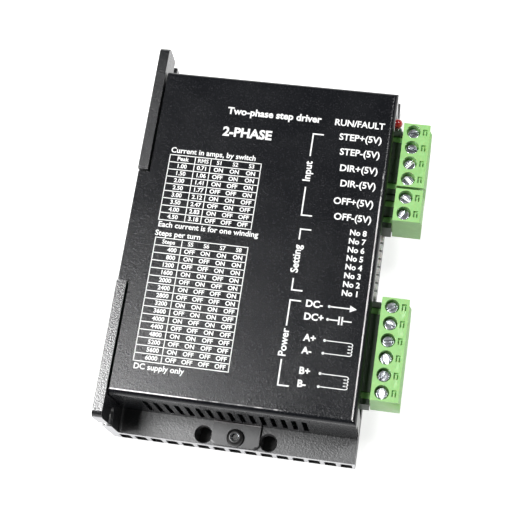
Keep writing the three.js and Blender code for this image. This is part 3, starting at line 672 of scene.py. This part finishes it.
# %% Skin and tabs
def make_cover_skin():
    """Outer skin of the cover, with its openings left out, and its two tabs."""
    x, x_height, y, y_height = cover_paths()
    height = np.minimum(x_height[:, None], y_height[None, :])
    grid = np.stack([np.broadcast_to(x[:, None], height.shape),
                     np.broadcast_to(y[None, :], height.shape), height], axis=-1)
    cell = (grid[:-1, :-1] + grid[1:, 1:]) / 2
    x_above = np.minimum(x_height[:-1], x_height[1:])[:, None] * np.ones(len(y) - 1)
    in_tongue = (np.abs(cell[..., 1]) < tongue_half) & (x_above > cover_top - hair)
    past_wall = (cell[..., 0] < cover_left) & ~in_tongue
    side_wall = (x_height[1:] < cover_top - bend - hair)[:, None]
    end_wall = (np.maximum(y_height[:-1], y_height[1:]) < cover_top - bend + hair)[None, :]
    window = (cell[..., 0] > cover_right - hair) & (cell[..., 2] < window_top)
    window &= (cell[..., 1] > window_low) & (cell[..., 1] < window_high)
    at_vent = np.abs((cell[..., 0] - vent_middle) / vent_pitch % 1 - 0.5) < vent_width / vent_pitch / 2
    at_vent &= np.abs(cell[..., 0] - vent_middle) < vent_count * vent_pitch / 2
    vents = end_wall & at_vent & (cell[..., 2] > vent_low) & (cell[..., 2] < vent_high)
    folded = end_wall & (np.abs(cell[..., 0] - screw_x) < tab_half)
    folded &= cell[..., 2] < cover_low.z + sheet + tab_fold
    keep = ~(past_wall | (side_wall & end_wall) | window | vents | folded)
    columns = x[(x > screw_x - tab_half - hair) & (x < screw_x + tab_half + hair)]
    grids, masks = [grid], [keep]
    for side in (-1, 1):
        grids.append(tab_grid(columns, side))
        masks.append(None)
    return skin("cover_finished", grids, masks, outwards=False)


def tab_grid(columns, side):
    """Tab: the foot of the wall turns out through a small curve and ends in two round corners."""
    curve = np.radians(np.linspace(0, 90, 5))
    out = np.concatenate([wall_y + tab_fold * (1 - np.cos(curve)), [tab_tip - tab_corner],
                          tab_tip - tab_corner + tab_corner * np.sin(curve[1:])])
    height = cover_low.z + sheet + np.concatenate([tab_fold * (1 - np.sin(curve)), np.zeros(5)])
    beyond = np.clip(out - (tab_tip - tab_corner), 0, tab_corner)
    half = tab_half - tab_corner + np.sqrt(tab_corner ** 2 - beyond ** 2)
    share = (columns - screw_x) / tab_half
    x = screw_x + share[:, None] * half[None, :]
    return np.stack([x, np.broadcast_to(side * out, x.shape), np.broadcast_to(height, x.shape)], axis=-1)


# %% Cover sheet
rubbed_and_highlight_slot, worn_and_highlight_slot, tab_slot = 1, 2, 3
# Painted highlight along the top bends: bright up to the faint-from places, fainter from there to the end
# places.
faint_highlight_from_y, highlight_end_y = 0.3 * wall_y, 0.6 * wall_y
faint_highlight_from_x, highlight_end_x = -14 * MM, 12 * MM


def face_away(piece):
    """Makes the faces of an open skin agree, with the top of the skin looking up."""
    shell = bmesh.new()
    shell.from_mesh(piece.data)
    bmesh.ops.recalc_face_normals(shell, faces=shell.faces)
    shell.faces.ensure_lookup_table()
    highest = max(shell.faces, key=lambda f: f.calc_center_median().z)
    if highest.normal.z < 0:
        bmesh.ops.reverse_faces(shell, faces=shell.faces)
    shell.to_mesh(piece.data)
    shell.free()


def paint_bend_highlights(piece):
    """Paints a highlight on the first row of faces below the top, along the terminal side and the
    near wall.

    The painted highlight is brightest, in the light grey finish, along the near part of the terminal
    side and the left part of the near wall, and fainter, in the rubbed finish, beyond them.
    """
    first_row = math.sin(math.radians(90 / bend_steps))
    for face in piece.data.polygons:
        x, y = face.center.x, face.center.y
        at_right = 0.2 * first_row < face.normal.x < first_row and y < highlight_end_y
        at_near = 0.2 * first_row < -face.normal.y < first_row and x < highlight_end_x
        # Painted highlight: these bend faces get the light grey or the rubbed finish.
        if face.normal.z > 0.9 and (at_right or at_near):
            faint_only = y > faint_highlight_from_y or (at_near and x > faint_highlight_from_x)
            face.material_index = rubbed_and_highlight_slot if faint_only else worn_and_highlight_slot


def finish_tabs(piece):
    """Gives the tabs' flat tops their own coat and their upper edges the light grey finish."""
    tab_top = cover_low.z + sheet
    for face in piece.data.polygons:
        off_level = abs(face.center.z - tab_top)
        if face.normal.z > 0.95 and off_level < 0.05 * MM:
            face.material_index = tab_slot
        elif off_level < 0.16 * MM and face.normal.z > 0.2:
            face.material_index = worn_and_highlight_slot


def make_cover():
    """The skin made a sheet of even thickness, with every cut edge slightly rounded."""
    piece = make_cover_skin()
    face_away(piece)
    for material in (powder_coat, rubbed_coat_and_highlight, worn_coat_and_highlight, tab_coat):
        piece.data.materials.append(material)
    # Painted highlight along the top bends.
    paint_bend_highlights(piece)
    thick = piece.modifiers.new("sheet", "SOLIDIFY")
    thick.thickness = sheet
    thick.offset = -1
    thick.use_even_offset = True
    thick.use_quality_normals = True
    settle(piece)
    round_edges(piece, 0.14, edge_slot=rubbed_and_highlight_slot, limit=50)
    finish_tabs(piece)
    hand_over(piece, "root", "powder_coat", "cover")


make_cover()

# %% [markdown]
# ## Green terminal plugs
#
# A plug is one moulding with a round well over each screw, a wire entry in front of it, a small
# sunk mark beside it and a keyway step at one end. The engineering copy is bored again with
# smooth round tools, because light on the rim of a well shows every flat. The moulding's edges
# are rounded like real ones, which a bump in the material couldn't do on an outline.

# %% Plug sizes
plug_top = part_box("power_plug")[1].z
well_radius = 2.08 * MM
# How far each screw's slot is turned, in degrees, and the screws whose slots carry a painted highlight.
screw_slot_turns = {"signal_4": [20, -15, 48, -42], "signal_2": [-30, 65],
                    "power": [35, -25, 10, -70, 60, 92]}
highlighted_slots = {"signal_4": (3, 4), "signal_2": (1,), "power": (4, 6)}
terminals = [(group, number, degrees) for group, row in screw_slot_turns.items()
             for number, degrees in enumerate(row, 1)]
mark_offset, seat_depth = 3.45 * MM, 2.0 * MM
print("terminals:", len(terminals))


# %% Well, mark and key cutters
def well_tool(x, y, floor_z):
    """Cutter for a screw well with a small round lead-in at its mouth."""
    lead = 0.08 * MM
    lip = arc((well_radius + lead, plug_top - lead), lead, 180, 90, 4)
    profile = [(0, floor_z), (well_radius, floor_z), *lip, (well_radius + lead, plug_top + MM),
               (0, plug_top + MM)]
    return skin("well_tool", [turned(profile, (x, y, 0), 48)])


def mark_tools(x, y):
    """Three shallow grooves that make the sunk three-sided mark beside a screw."""
    wide, long, stroke, depth = 1.3 * MM, 2.0 * MM, 0.42 * MM, 1.0 * MM
    bars = [rectangle(x - wide / 2, x + wide / 2, y + long / 2 - stroke, y + long / 2),
            rectangle(x - wide / 2, x - wide / 2 + stroke, y - long / 2, y + long / 2 - stroke / 2),
            rectangle(x + wide / 2 - stroke, x + wide / 2, y - long / 2, y + long / 2 - stroke / 2)]
    return [skin("mark_tool", [prism(outline, plug_top - depth, plug_top + MM)]) for outline in bars]


def key_tool(group):
    """Cutter for the keyway in the wire side of a plug, at its far end: a step with a slanted end."""
    low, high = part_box(f"{group}_plug")
    step, run = 0.7 * MM, 1.8 * MM
    outline = [(high.x - step, high.y + MM), (high.x - step, high.y - run),
               (high.x + 0.1 * MM, high.y - run - step), (high.x + MM, high.y + MM)]
    return skin("key_tool", [prism(outline, low.z - MM, high.z + MM)])


print("wells are", round(2 * well_radius / MM, 2), "mm wide")

# %% Plugs
def make_plug(group):
    """Copy of a plug with smooth wells, sunk marks, a keyway and rounded edges."""
    piece = copy_of(f"{group}_plug", f"{group}_plug_finished")
    cutters = [key_tool(group)]
    for number in range(1, len(screw_slot_turns[group]) + 1):
        screw = middle(f"{group}_screw_{number}")
        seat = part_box(f"{group}_screw_{number}")[1].z - seat_depth
        cutters.append(well_tool(screw.x, screw.y, seat))
        cutters += mark_tools(screw.x + mark_offset, screw.y)
    carve(piece, cutters)
    piece.data.materials.append(plug_green)
    round_edges(piece, 0.13)
    hand_over(piece, f"{group}_plug", "plug_green", f"{group}_plug")


for group in screw_slot_turns:
    make_plug(group)

# %% [markdown]
# ## Terminal screws
#
# A terminal screw's head is a turned disc with a rounded rim and a slot. It is a profile swept
# round the axis and then cut once, which keeps the rim truly round. The slots stand at whatever
# angle the screws were last left. In some of them a painted highlight is a brighter finish of its
# own, chosen by which faces lie below the top of the head.

# %% Terminal screws
def slot_cutter(centre, radius, top, width, depth, degrees):
    """Bar for cutting a screw slot through the middle of a head, turned by some degrees."""
    outline = np.array(rectangle(-radius, radius, -width / 2, width / 2))
    angle = math.radians(degrees)
    spin = np.array([[math.cos(angle), math.sin(angle)], [-math.sin(angle), math.cos(angle)]])
    return skin("slot_cutter", [prism(outline @ spin + np.array(centre[:2]), top - depth, top + MM)])


def make_terminal_screw(group, number, degrees):
    """Slotted screw: head with a rounded rim, shank below, and the slot."""
    node = f"{group}_screw_{number}"
    low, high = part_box(node)
    centre = middle(node)
    radius, shank, rim = 1.75 * MM, 0.95 * MM, 0.3 * MM
    seat, point = high.z - 1.8 * MM, 0.2 * MM
    profile = [(0, low.z), (shank - point, low.z), (shank, low.z + point), (shank, seat),
               (radius, seat), *arc((radius - rim, high.z - rim), rim, 0, 90, 6), (0, high.z)]
    piece = skin(f"{node}_finished", [turned(profile, (centre.x, centre.y, 0), 48)])
    slot_width, slot_depth, slot_reach = 0.7 * MM, 0.8 * MM, 3 * MM
    carve(piece, [slot_cutter(centre, slot_reach, high.z, slot_width, slot_depth, degrees)])
    for material in (plated_steel, slot_highlight_steel):
        piece.data.materials.append(material)
    round_edges(piece, 0.06, limit=45)
    highlighted_slot = number in highlighted_slots[group]
    for face in piece.data.polygons:
        sunk = 0.02 * MM < high.z - face.center.z < 0.9 * MM
        reach = math.hypot(face.center.x - centre.x, face.center.y - centre.y)
        # Painted highlight: the sunk slot faces of the chosen screws get the bright steel.
        if highlighted_slot and sunk and reach < radius - rim:
            face.material_index = 1
    hand_over(piece, node, "plated_steel", node)


for group, number, degrees in terminals:
    make_terminal_screw(group, number, degrees)

# %% [markdown]
# ## Cover screws
#
# A cover screw is a low button with a hexagon socket whose rim is rubbed bright by the key. It
# is turned like the other screws, from a quarter ellipse with a flat top. The socket is a
# hexagonal bar cut out of it, and a shallow funnel cut after it makes the rim that shines.

# %% Cover screws
def make_cover_screw(node):
    """Button head: a quarter ellipse with a flat top, a hexagon socket and a rubbed socket rim."""
    low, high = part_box(node)
    centre = middle(node)
    head, flat, height, shank = 2.75 * MM, 1.45 * MM, 1.7 * MM, 1.3 * MM
    socket, socket_depth, rim = 1.12 * MM, 1.1 * MM, 0.22 * MM
    angle = np.radians(np.linspace(0, 90, 10))
    dome = np.stack([flat + (head - flat) * np.cos(angle),
                     high.z - height + height * np.sin(angle)], axis=1)
    profile = [(0, low.z), (shank, low.z), (shank, high.z - height), *dome, (0, high.z)]
    piece = skin(f"{node}_finished", [turned(profile, (centre.x, centre.y, 0), 48)])
    hexagon = arc((centre.x, centre.y), socket, 0, 300, 5)
    funnel = [(0, high.z - rim), (socket - 0.1 * MM, high.z - rim), (socket + rim, high.z + rim / 4),
              (0, high.z + rim / 4)]
    carve(piece, [skin("hexagon", [prism(hexagon, high.z - socket_depth, high.z + MM)]),
                  skin("funnel", [turned(funnel, (centre.x, centre.y, 0), 48)])])
    for material in (black_steel, plated_steel):
        piece.data.materials.append(material)
    for face in piece.data.polygons:
        reach = math.hypot(face.center.x - centre.x, face.center.y - centre.y)
        on_rim = face.center.z > high.z - 1.2 * rim and 0.7 * socket < reach < socket + rim
        if on_rim and 0.2 < face.normal.z < 0.98:
            face.material_index = 1
    round_edges(piece, 0.05, limit=45)
    hand_over(piece, "root", "black_screw", node)


make_cover_screw("cover_screw_near")
make_cover_screw("cover_screw_far")

# %% [markdown]
# ## Headers and switch body
#
# The dark green headers and the switch body are boxes with windows, so copies with rounded edges
# are enough. The headers' green is darker than their own, as painted shade. A header's roof has a
# notch over each terminal. A thin web in that darkened green closes all but the first and the last
# of them: a dark sheet as painted shade in the notches, so that the row reads as one dark band.
# Filling the notches would mean changing the copy's own faces, and a web laid over them leaves
# those alone.

# %% Headers and switch body
def rounded_copy(node, material, width):
    """Copy of an engineering node in its finish, with its edges rounded to a width in mm."""
    piece = copy_of(node, f"{node}_finished")
    piece.data.materials.append(material)
    round_edges(piece, width)
    return piece


def make_header(group):
    """Rounded copy of a header; a thin dark web, as painted shade, closes its roof notches, all but the
    first and last.
    """
    node = f"{group}_header"
    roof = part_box(node)[1]
    piece = rounded_copy(node, header_green, 0.12)
    # The web is painted shade: a dark sheet where the notches lie in shade.
    reach, inset, half_width = 3.6 * MM, 0.05 * MM, 1.05 * MM
    web_low, web_high = roof.z - 0.02 * MM, roof.z + 0.10 * MM
    shell = bmesh.new()
    shell.from_mesh(piece.data)
    for number in range(2, len(screw_slot_turns[group])):
        y = middle(f"{group}_screw_{number}").y
        outline = rectangle(roof.x - reach, roof.x - inset, y - half_width, y + half_width)
        web = skin("web", [prism(outline, web_low, web_high)])
        shell.from_mesh(web.data)
        bpy.data.objects.remove(web)
    shell.to_mesh(piece.data)
    shell.free()
    hand_over(piece, "root", "header_green", node)


for group in screw_slot_turns:
    make_header(group)
hand_over(rounded_copy("switch_body", switch_violet, 0.12), "root", "switch_violet", "switch_body")

# %% [markdown]
# ## Switch sliders
#
# Each of the eight knobs is a white bar that a fingernail or a pen moves up and down, so its face
# has three ribs across the travel. The ribs are a raised cosine, which has no sharp foot to
# catch dirt or light. The outline is extruded across the knob, because nothing changes that way.

# %% Switch sliders
rib_count, rib_depth = 3, 0.10 * MM


def make_slider(number):
    """Slider knob: a rounded bar whose face carries three grip ribs across its travel."""
    node = f"switch_slider_{number}"
    low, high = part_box(node)
    z = np.linspace(low.z, high.z, 25)
    travel = (z - low.z) / (high.z - low.z)
    rib = rib_depth * (0.5 - 0.5 * np.cos(travel * rib_count * 2 * math.pi))
    face = np.stack([high.x - rib, z], axis=1)
    outline = np.concatenate([face, [(low.x, high.z), (low.x, low.z)]])
    piece = skin(f"{node}_finished", [prism(outline, low.y, high.y, "y")])
    piece.data.materials.append(slider_white)
    round_edges(piece, 0.08, limit=50)
    hand_over(piece, node, "slider_white", node)


for number in range(1, 9):
    make_slider(number)

# %% [markdown]
# ## Lamps
#
# A lamp is a tinted epoxy body on two square wires that turn down to the board. The body is
# turned about an axis that points out of the window: a rim, a short barrel and a quarter circle
# for the dome. A sphere joined to a cylinder would need the seam hidden, and a profile has none.

# %% Lamp legs
def make_leg(name, back, y, foot, centre_z):
    """Square wire that leaves the back of a lamp and turns down to the board: one bent bar."""
    half = 0.25 * MM
    inner_x = foot.x + 2 * half
    outline = [(back + half, centre_z + half), (foot.x, centre_z + half), (foot.x, foot.z),
               (inner_x, foot.z), (inner_x, centre_z - half), (back + half, centre_z - half)]
    corners = [(x, y + shift, z) for shift in (-half, half) for x, z in outline]
    count = len(outline)
    faces = [(i, (i + 1) % count, (i + 1) % count + count, i + count) for i in range(count)]
    faces += [tuple(range(count))[::-1], tuple(range(count, 2 * count))]
    mesh = bpy.data.meshes.new(name)
    mesh.from_pydata(corners, [], faces)
    shell = bmesh.new()
    shell.from_mesh(mesh)
    bmesh.ops.recalc_face_normals(shell, faces=shell.faces)
    shell.to_mesh(mesh)
    shell.free()
    leg = bpy.data.objects.new(name, mesh)
    bpy.context.scene.collection.objects.link(leg)
    leg.data.materials.append(plated_steel)
    hand_over(leg, "root", "plated_steel")


# %% Lamps
def make_lamp(node, material, slot):
    """Lamp body turned about an axis along X: rim, barrel and a quarter-circle dome; two legs."""
    low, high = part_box(node)
    radius, rim, length = 1.5 * MM, 1.9 * MM, 5.3 * MM
    rim_width, rim_round, leg_offset = 1.0 * MM, 0.15 * MM, 0.885 * MM
    back = high.x - length
    front = back + rim_width
    centre_y, centre_z = (low.y + high.y) / 2, high.z - rim
    dome = arc((high.x - radius, 0), radius, 90, 0, 12)[:, ::-1]
    profile = [(0, back), (rim - rim_round, back), (rim, back + rim_round),
               (rim, front - rim_round), (rim - rim_round, front), (radius, front), *dome]
    piece = skin(f"{node}_finished", [turned(profile, (0, centre_y, centre_z), 40, "x")])
    piece.data.materials.append(material)
    piece.data.shade_smooth()
    hand_over(piece, "root", slot, node)
    for side, letter in ((-1, "b"), (1, "a")):
        make_leg(f"{node}_leg_{letter}", back, centre_y + side * leg_offset, low, centre_z)


make_lamp("lamp_alarm", lamp_red, "lamp_red")
make_lamp("lamp_power", lamp_green, "lamp_green")

# %% [markdown]
# ## Parts seen through the openings
#
# The board and what stands on it are only glimpsed, so their engineering shapes stay and get
# real finishes. Making them anew would add nothing that the vents and the window show. A
# material is simply put in place of the imported one.

# %% Finishes of the inner parts
inner_finishes = {"pcb": solder_mask, "thermal_pad": pad_silicone, "bridge_driver_a": chip_epoxy,
                  "bridge_driver_b": chip_epoxy, "controller_chip": chip_epoxy,
                  "bus_capacitor_1": can_sleeve, "bus_capacitor_2": can_sleeve,
                  "power_inductor": ferrite}
inner_finishes.update({f"optocoupler_{i}": chip_epoxy for i in range(1, 4)})
inner_finishes.update({f"pcb_screw_{i}": plated_steel for i in range(1, 5)})
inner_finishes.update({f"{group}_clamp_{number}": plated_brass for group, number, _ in terminals})
for node, material in inner_finishes.items():
    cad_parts[node].data.materials.clear()
    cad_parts[node].data.materials.append(material)
print("inner parts finished:", len(inner_finishes))

# %% [markdown]
# ## Printed legend
#
# The cover carries white screen printing: two setting tables, brackets that group the terminals,
# small circuit symbols and short generic labels. A pattern painted on the cover would blur close
# up, so the ink is geometry with a thickness, and everything is one piece. Lines come first:
# each is a thin ribbon carried along its path.

# %% Ink lines
ink_thickness = 0.02 * MM
ink_level = cover_top
ink_grids = []
table_line, bracket_line, symbol_line, plate_line, coil_line = 0.26, 0.42, 0.36, 0.45, 0.24


def printed(x, y):
    """A place on the cover, given in mm from the flange's outer face and from the middle."""
    return np.array([sink_low.x + x * MM, y * MM])


def ink_line(places, width):
    """Ribbon along a path of (x, y) places in mm: the path moved half a width to either side.

    At a corner it moves along the bisector, further by as much as the corner is sharp, so the
    ribbon keeps its width.
    """
    path = np.array([printed(x, y) for x, y in places])
    step = np.diff(path, axis=0)
    step /= np.linalg.norm(step, axis=1, keepdims=True)
    bisector = np.concatenate([step[:1], (step[:-1] + step[1:]) / 2, step[-1:]])
    sideways = np.stack([-bisector[:, 1], bisector[:, 0]], axis=1)
    sideways *= (width * MM / 2) / (sideways ** 2).sum(axis=1, keepdims=True)
    left, right_side = path + sideways, path - sideways
    low, high = ink_level, ink_level + ink_thickness

    def lifted(points, level):
        """The points at a height."""
        return np.column_stack([points, np.full(len(points), level)])

    ring = [lifted(left, low), lifted(left, high), lifted(right_side, high), lifted(right_side, low)]
    grid = np.stack([*ring, ring[0]], axis=1)
    caps = [np.repeat(grid[i:i + 1].mean(axis=1, keepdims=True), 5, axis=1) for i in (0, -1)]
    ink_grids.append(np.concatenate([caps[0], grid, caps[1]]))


print("ink starts at", printed(0, 0) / MM, "mm")

# %% [markdown]
# ### Letters
#
# Blender's text object turns any word into an outline. It is made a mesh before it is moved to
# its place, because the finished piece's own place has to stay at the origin. A slight offset
# makes the strokes bolder, as ink is that has spread a little.

# %% Letters
letter_shell = bmesh.new()
capital_share = 0.73
plain, bold = 0.022, 0.03


def words(text, x, y, height, align="LEFT", quarter_turn=False, weight=plain):
    """Text with its capitals' height in mm, anchored at (x, y), turned into thin mesh letters.

    A capital takes capital_share of the font's size, and the weight is the outline's offset as
    a share of that size.
    """
    curve = bpy.data.curves.new("words", "FONT")
    curve.body = text
    curve.size = height * MM / capital_share
    curve.align_x = align
    curve.align_y = "CENTER"
    curve.offset = weight * curve.size
    curve.extrude = ink_thickness / 2
    curve.resolution_u = 3
    holder = bpy.data.objects.new("words", curve)
    bpy.context.scene.collection.objects.link(holder)
    bpy.context.view_layer.update()
    mesh = bpy.data.meshes.new_from_object(holder.evaluated_get(bpy.context.evaluated_depsgraph_get()))
    place = printed(x, y)
    spin = Matrix.Rotation(math.pi / 2 if quarter_turn else 0, 4, "Z")
    mesh.transform(Matrix.Translation((place[0], place[1], ink_level + ink_thickness / 2)) @ spin)
    letter_shell.from_mesh(mesh)
    bpy.data.objects.remove(holder)
    bpy.data.meshes.remove(mesh)


print("a capital takes", capital_share, "of the font's size")

# %% Titles and labels
words("Two-phase step driver", 38.7, 40.1, 2.3, "CENTER", weight=bold)
words("2-PHASE", 31.3, 33.1, 3.0, "CENTER", weight=0.035)
words("RUN/FAULT", 72.6, 39.8, 2.1, "RIGHT")

signal_rows = {"STEP+(5V)": 35.2, "STEP-(5V)": 30.4, "DIR+(5V)": 25.2, "DIR-(5V)": 20.3,
               "OFF+(5V)": 14.6, "OFF-(5V)": 9.7}
for label, level in signal_rows.items():
    words(label, 72.3, level, 2.15, "RIGHT")

switch_count, first_switch_level, switch_spacing = 8, 5.2, 2.67
for row in range(switch_count):
    level = first_switch_level - row * switch_spacing
    words(f"No {switch_count - row}", 71.4, level, 1.75, "RIGHT", weight=bold)

power_rows = {"DC-": -17.9, "DC+": -21.8, "A+": -28.1, "A-": -31.9, "B+": -37.9, "B-": -41.7}
for label, level in power_rows.items():
    words(label, 56.4 if label.startswith("DC") else 57.25, level, 2.1, weight=bold)
print("labels:", len(signal_rows) + switch_count + len(power_rows))


# %% Brackets
def bracket(word, x, top, bottom, centre, gap):
    """Square bracket open to the terminals, broken in the middle for a word that reads upwards."""
    arm = 3.2
    ink_line([(x + arm, top), (x, top), (x, centre + gap)], bracket_line)
    ink_line([(x + arm, bottom), (x, bottom), (x, centre - gap)], bracket_line)
    words(word, x, centre, 2.3, "CENTER", quarter_turn=True)


bracket("Input", 51.4, top=35.3, bottom=9.0, centre=23.0, gap=5.0)
bracket("Setting", 51.8, top=4.6, bottom=-14.3, centre=-4.7, gap=6.0)
bracket("Power", 51.8, top=-17.4, bottom=-42.8, centre=-30.2, gap=5.0)
print("ink lines so far:", len(ink_grids))

# %% [markdown]
# ### Circuit symbols
#
# Small drawings beside the power terminals say what goes there: an arrow and a capacitor for the
# supply, and a winding for each phase of the motor. Each starts with a dot. The winding is one
# path, so its loops can overlap as a pen would draw them.

# %% Circuit symbols
symbol_left, coil_right = 63.4, 71.6
symbol_rows = {label: level - 0.1 for label, level in power_rows.items()}


def ink_patch(outline):
    """Flat printed patch: an outline raised by the thickness of the ink."""
    ink_grids.append(prism(outline, ink_level, ink_level + ink_thickness))


def dot(x, y, radius=0.42):
    """Small printed disc at the start of a line: a patch with sixteen corners on a circle."""
    ink_patch(arc(printed(x, y), radius * MM, 0, 337.5, 15))


def coil(top, bottom, loops=4):
    """Winding between two lines: a small circle that walks down while it turns, so it loops."""
    reach, half_loop = 0.62, 0.27
    turns = np.linspace(0.25, loops - 0.25, 16 * loops)
    level = np.linspace(top - half_loop, bottom + half_loop, len(turns))
    bend_x = coil_right - reach + reach * np.cos(2 * math.pi * (0.5 - turns))
    bend_y = level + half_loop * np.sin(2 * math.pi * (0.5 - turns))
    ink_line([(symbol_left, top), *zip(bend_x, bend_y), (symbol_left, bottom)], coil_line)
    dot(symbol_left, top)
    dot(symbol_left, bottom)


for phase in "AB":
    coil(symbol_rows[f"{phase}+"], symbol_rows[f"{phase}-"])
print("ink lines and patches with both coils:", len(ink_grids))

# %% Arrow and capacitor
arrow_level, cell_level = symbol_rows["DC-"], symbol_rows["DC+"]
arrow_foot, arrow_tip, arrow_half = 69.4, 71.4, 1
ink_line([(symbol_left, arrow_level), (arrow_foot + 0.2, arrow_level)], symbol_line)
ink_patch([printed(arrow_foot, arrow_level - arrow_half), printed(arrow_tip, arrow_level),
           printed(arrow_foot, arrow_level + arrow_half)])
plate_left, plate_right, cell_end, plate_half = 66.7, 67.6, 70.4, 1.25
ink_line([(symbol_left, cell_level), (plate_left, cell_level)], symbol_line)
ink_line([(plate_right, cell_level), (cell_end, cell_level)], symbol_line)
for plate in (plate_left, plate_right):
    ink_line([(plate, cell_level + plate_half), (plate, cell_level - plate_half)], plate_line)
dot(symbol_left, arrow_level)
dot(symbol_left, cell_level)
print("ink lines and patches so far:", len(ink_grids))

# %% [markdown]
# ### Setting tables
#
# One table gives the current and the other the steps per turn for each setting of the switches.
# The numbers come from a simple rule and the switches count in binary, so both tables are loops:
# typing more than a hundred cells by hand would only add mistakes.

# %% Table helpers
cell_height, note_height = 1.35, 1.75
table_left, table_right = 9.0, 37.1


def ink_table(left, top, row_height, rows, dividers):
    """Outer frame, a line under every row, and a line down each divider."""
    overhang = 0.15
    bottom = top - rows * row_height
    for row in range(rows + 1):
        level = top - row * row_height
        ink_line([(left - overhang, level), (table_right + overhang, level)], table_line)
    for x in (left, *dividers, table_right):
        ink_line([(x, top), (x, bottom)], table_line)


def table_row(columns, cells, level, weight=plain):
    """Words centred on their columns, at one level."""
    for x, cell in zip(columns, cells):
        words(cell, x, level, cell_height, "CENTER", weight=weight)


def switch_words(setting, switches):
    """ON and OFF for each switch of a setting: the number in binary, its lowest digit first."""
    return ["OFF" if setting >> switch & 1 else "ON" for switch in range(switches)]


print("setting 5 of three switches reads", switch_words(5, 3))

# %% Current table
current_rows, current_top, current_row = 8, 23.8, 2.35
current_left = table_left - 0.1
current_columns = (13.0, 19.3, 24.4, 29.3, 34.3)
words("Current in amps, by switch", current_left, 25.3, note_height)
ink_table(current_left, current_top, current_row, current_rows + 1, (16.8, 21.7))
table_row(current_columns, ("Peak", "RMS", "S1", "S2", "S3"), current_top - current_row / 2)
for row in range(current_rows):
    peak = 1.0 + 0.5 * row
    cells = [f"{peak:.2f}", f"{peak / math.sqrt(2):.2f}", *switch_words(row, 3)]
    table_row(current_columns, cells, current_top - (row + 1.5) * current_row, bold)
words("Each current is for one winding", table_left, 1.2, note_height)
print("current settings:", current_rows)

# %% Steps table
step_rows, step_top, step_row, first_steps = 15, -3.0, 2.375, 400
step_columns = (13.2, 19.9, 24.7, 29.6, 34.5)
words("Steps per turn", 8.6, -1.6, note_height)
ink_table(table_left, step_top, step_row, step_rows + 1, (17.2,))
table_row(step_columns, ("Steps", "S5", "S6", "S7", "S8"), step_top - step_row / 2)
for row in range(1, step_rows + 1):
    level = step_top - (row + 0.5) * step_row
    words(f"{first_steps * row}", 16.0, level, cell_height, "RIGHT", weight=bold)
    table_row(step_columns[1:], switch_words(row, 4), level, bold)
words("DC supply only", 9.3, -42.6, note_height)
print("step settings:", step_rows)

# %% [markdown]
# ### One piece of ink
#
# The ribbons are welded into one skin and the letters are joined to it, because a hundred loose
# words would be a hundred pieces to look after. The legend rides with the cover and replaces
# nothing.

# %% The legend piece
legend = skin("cover_legend", ink_grids, weld=0.0005 * MM)
letter_shell.from_mesh(legend.data)
letter_shell.to_mesh(legend.data)
letter_shell.free()
legend.data.materials.clear()
legend.data.materials.append(ink)
for face in legend.data.polygons:
    face.material_index = 0
hand_over(legend, "root", "legend_white")
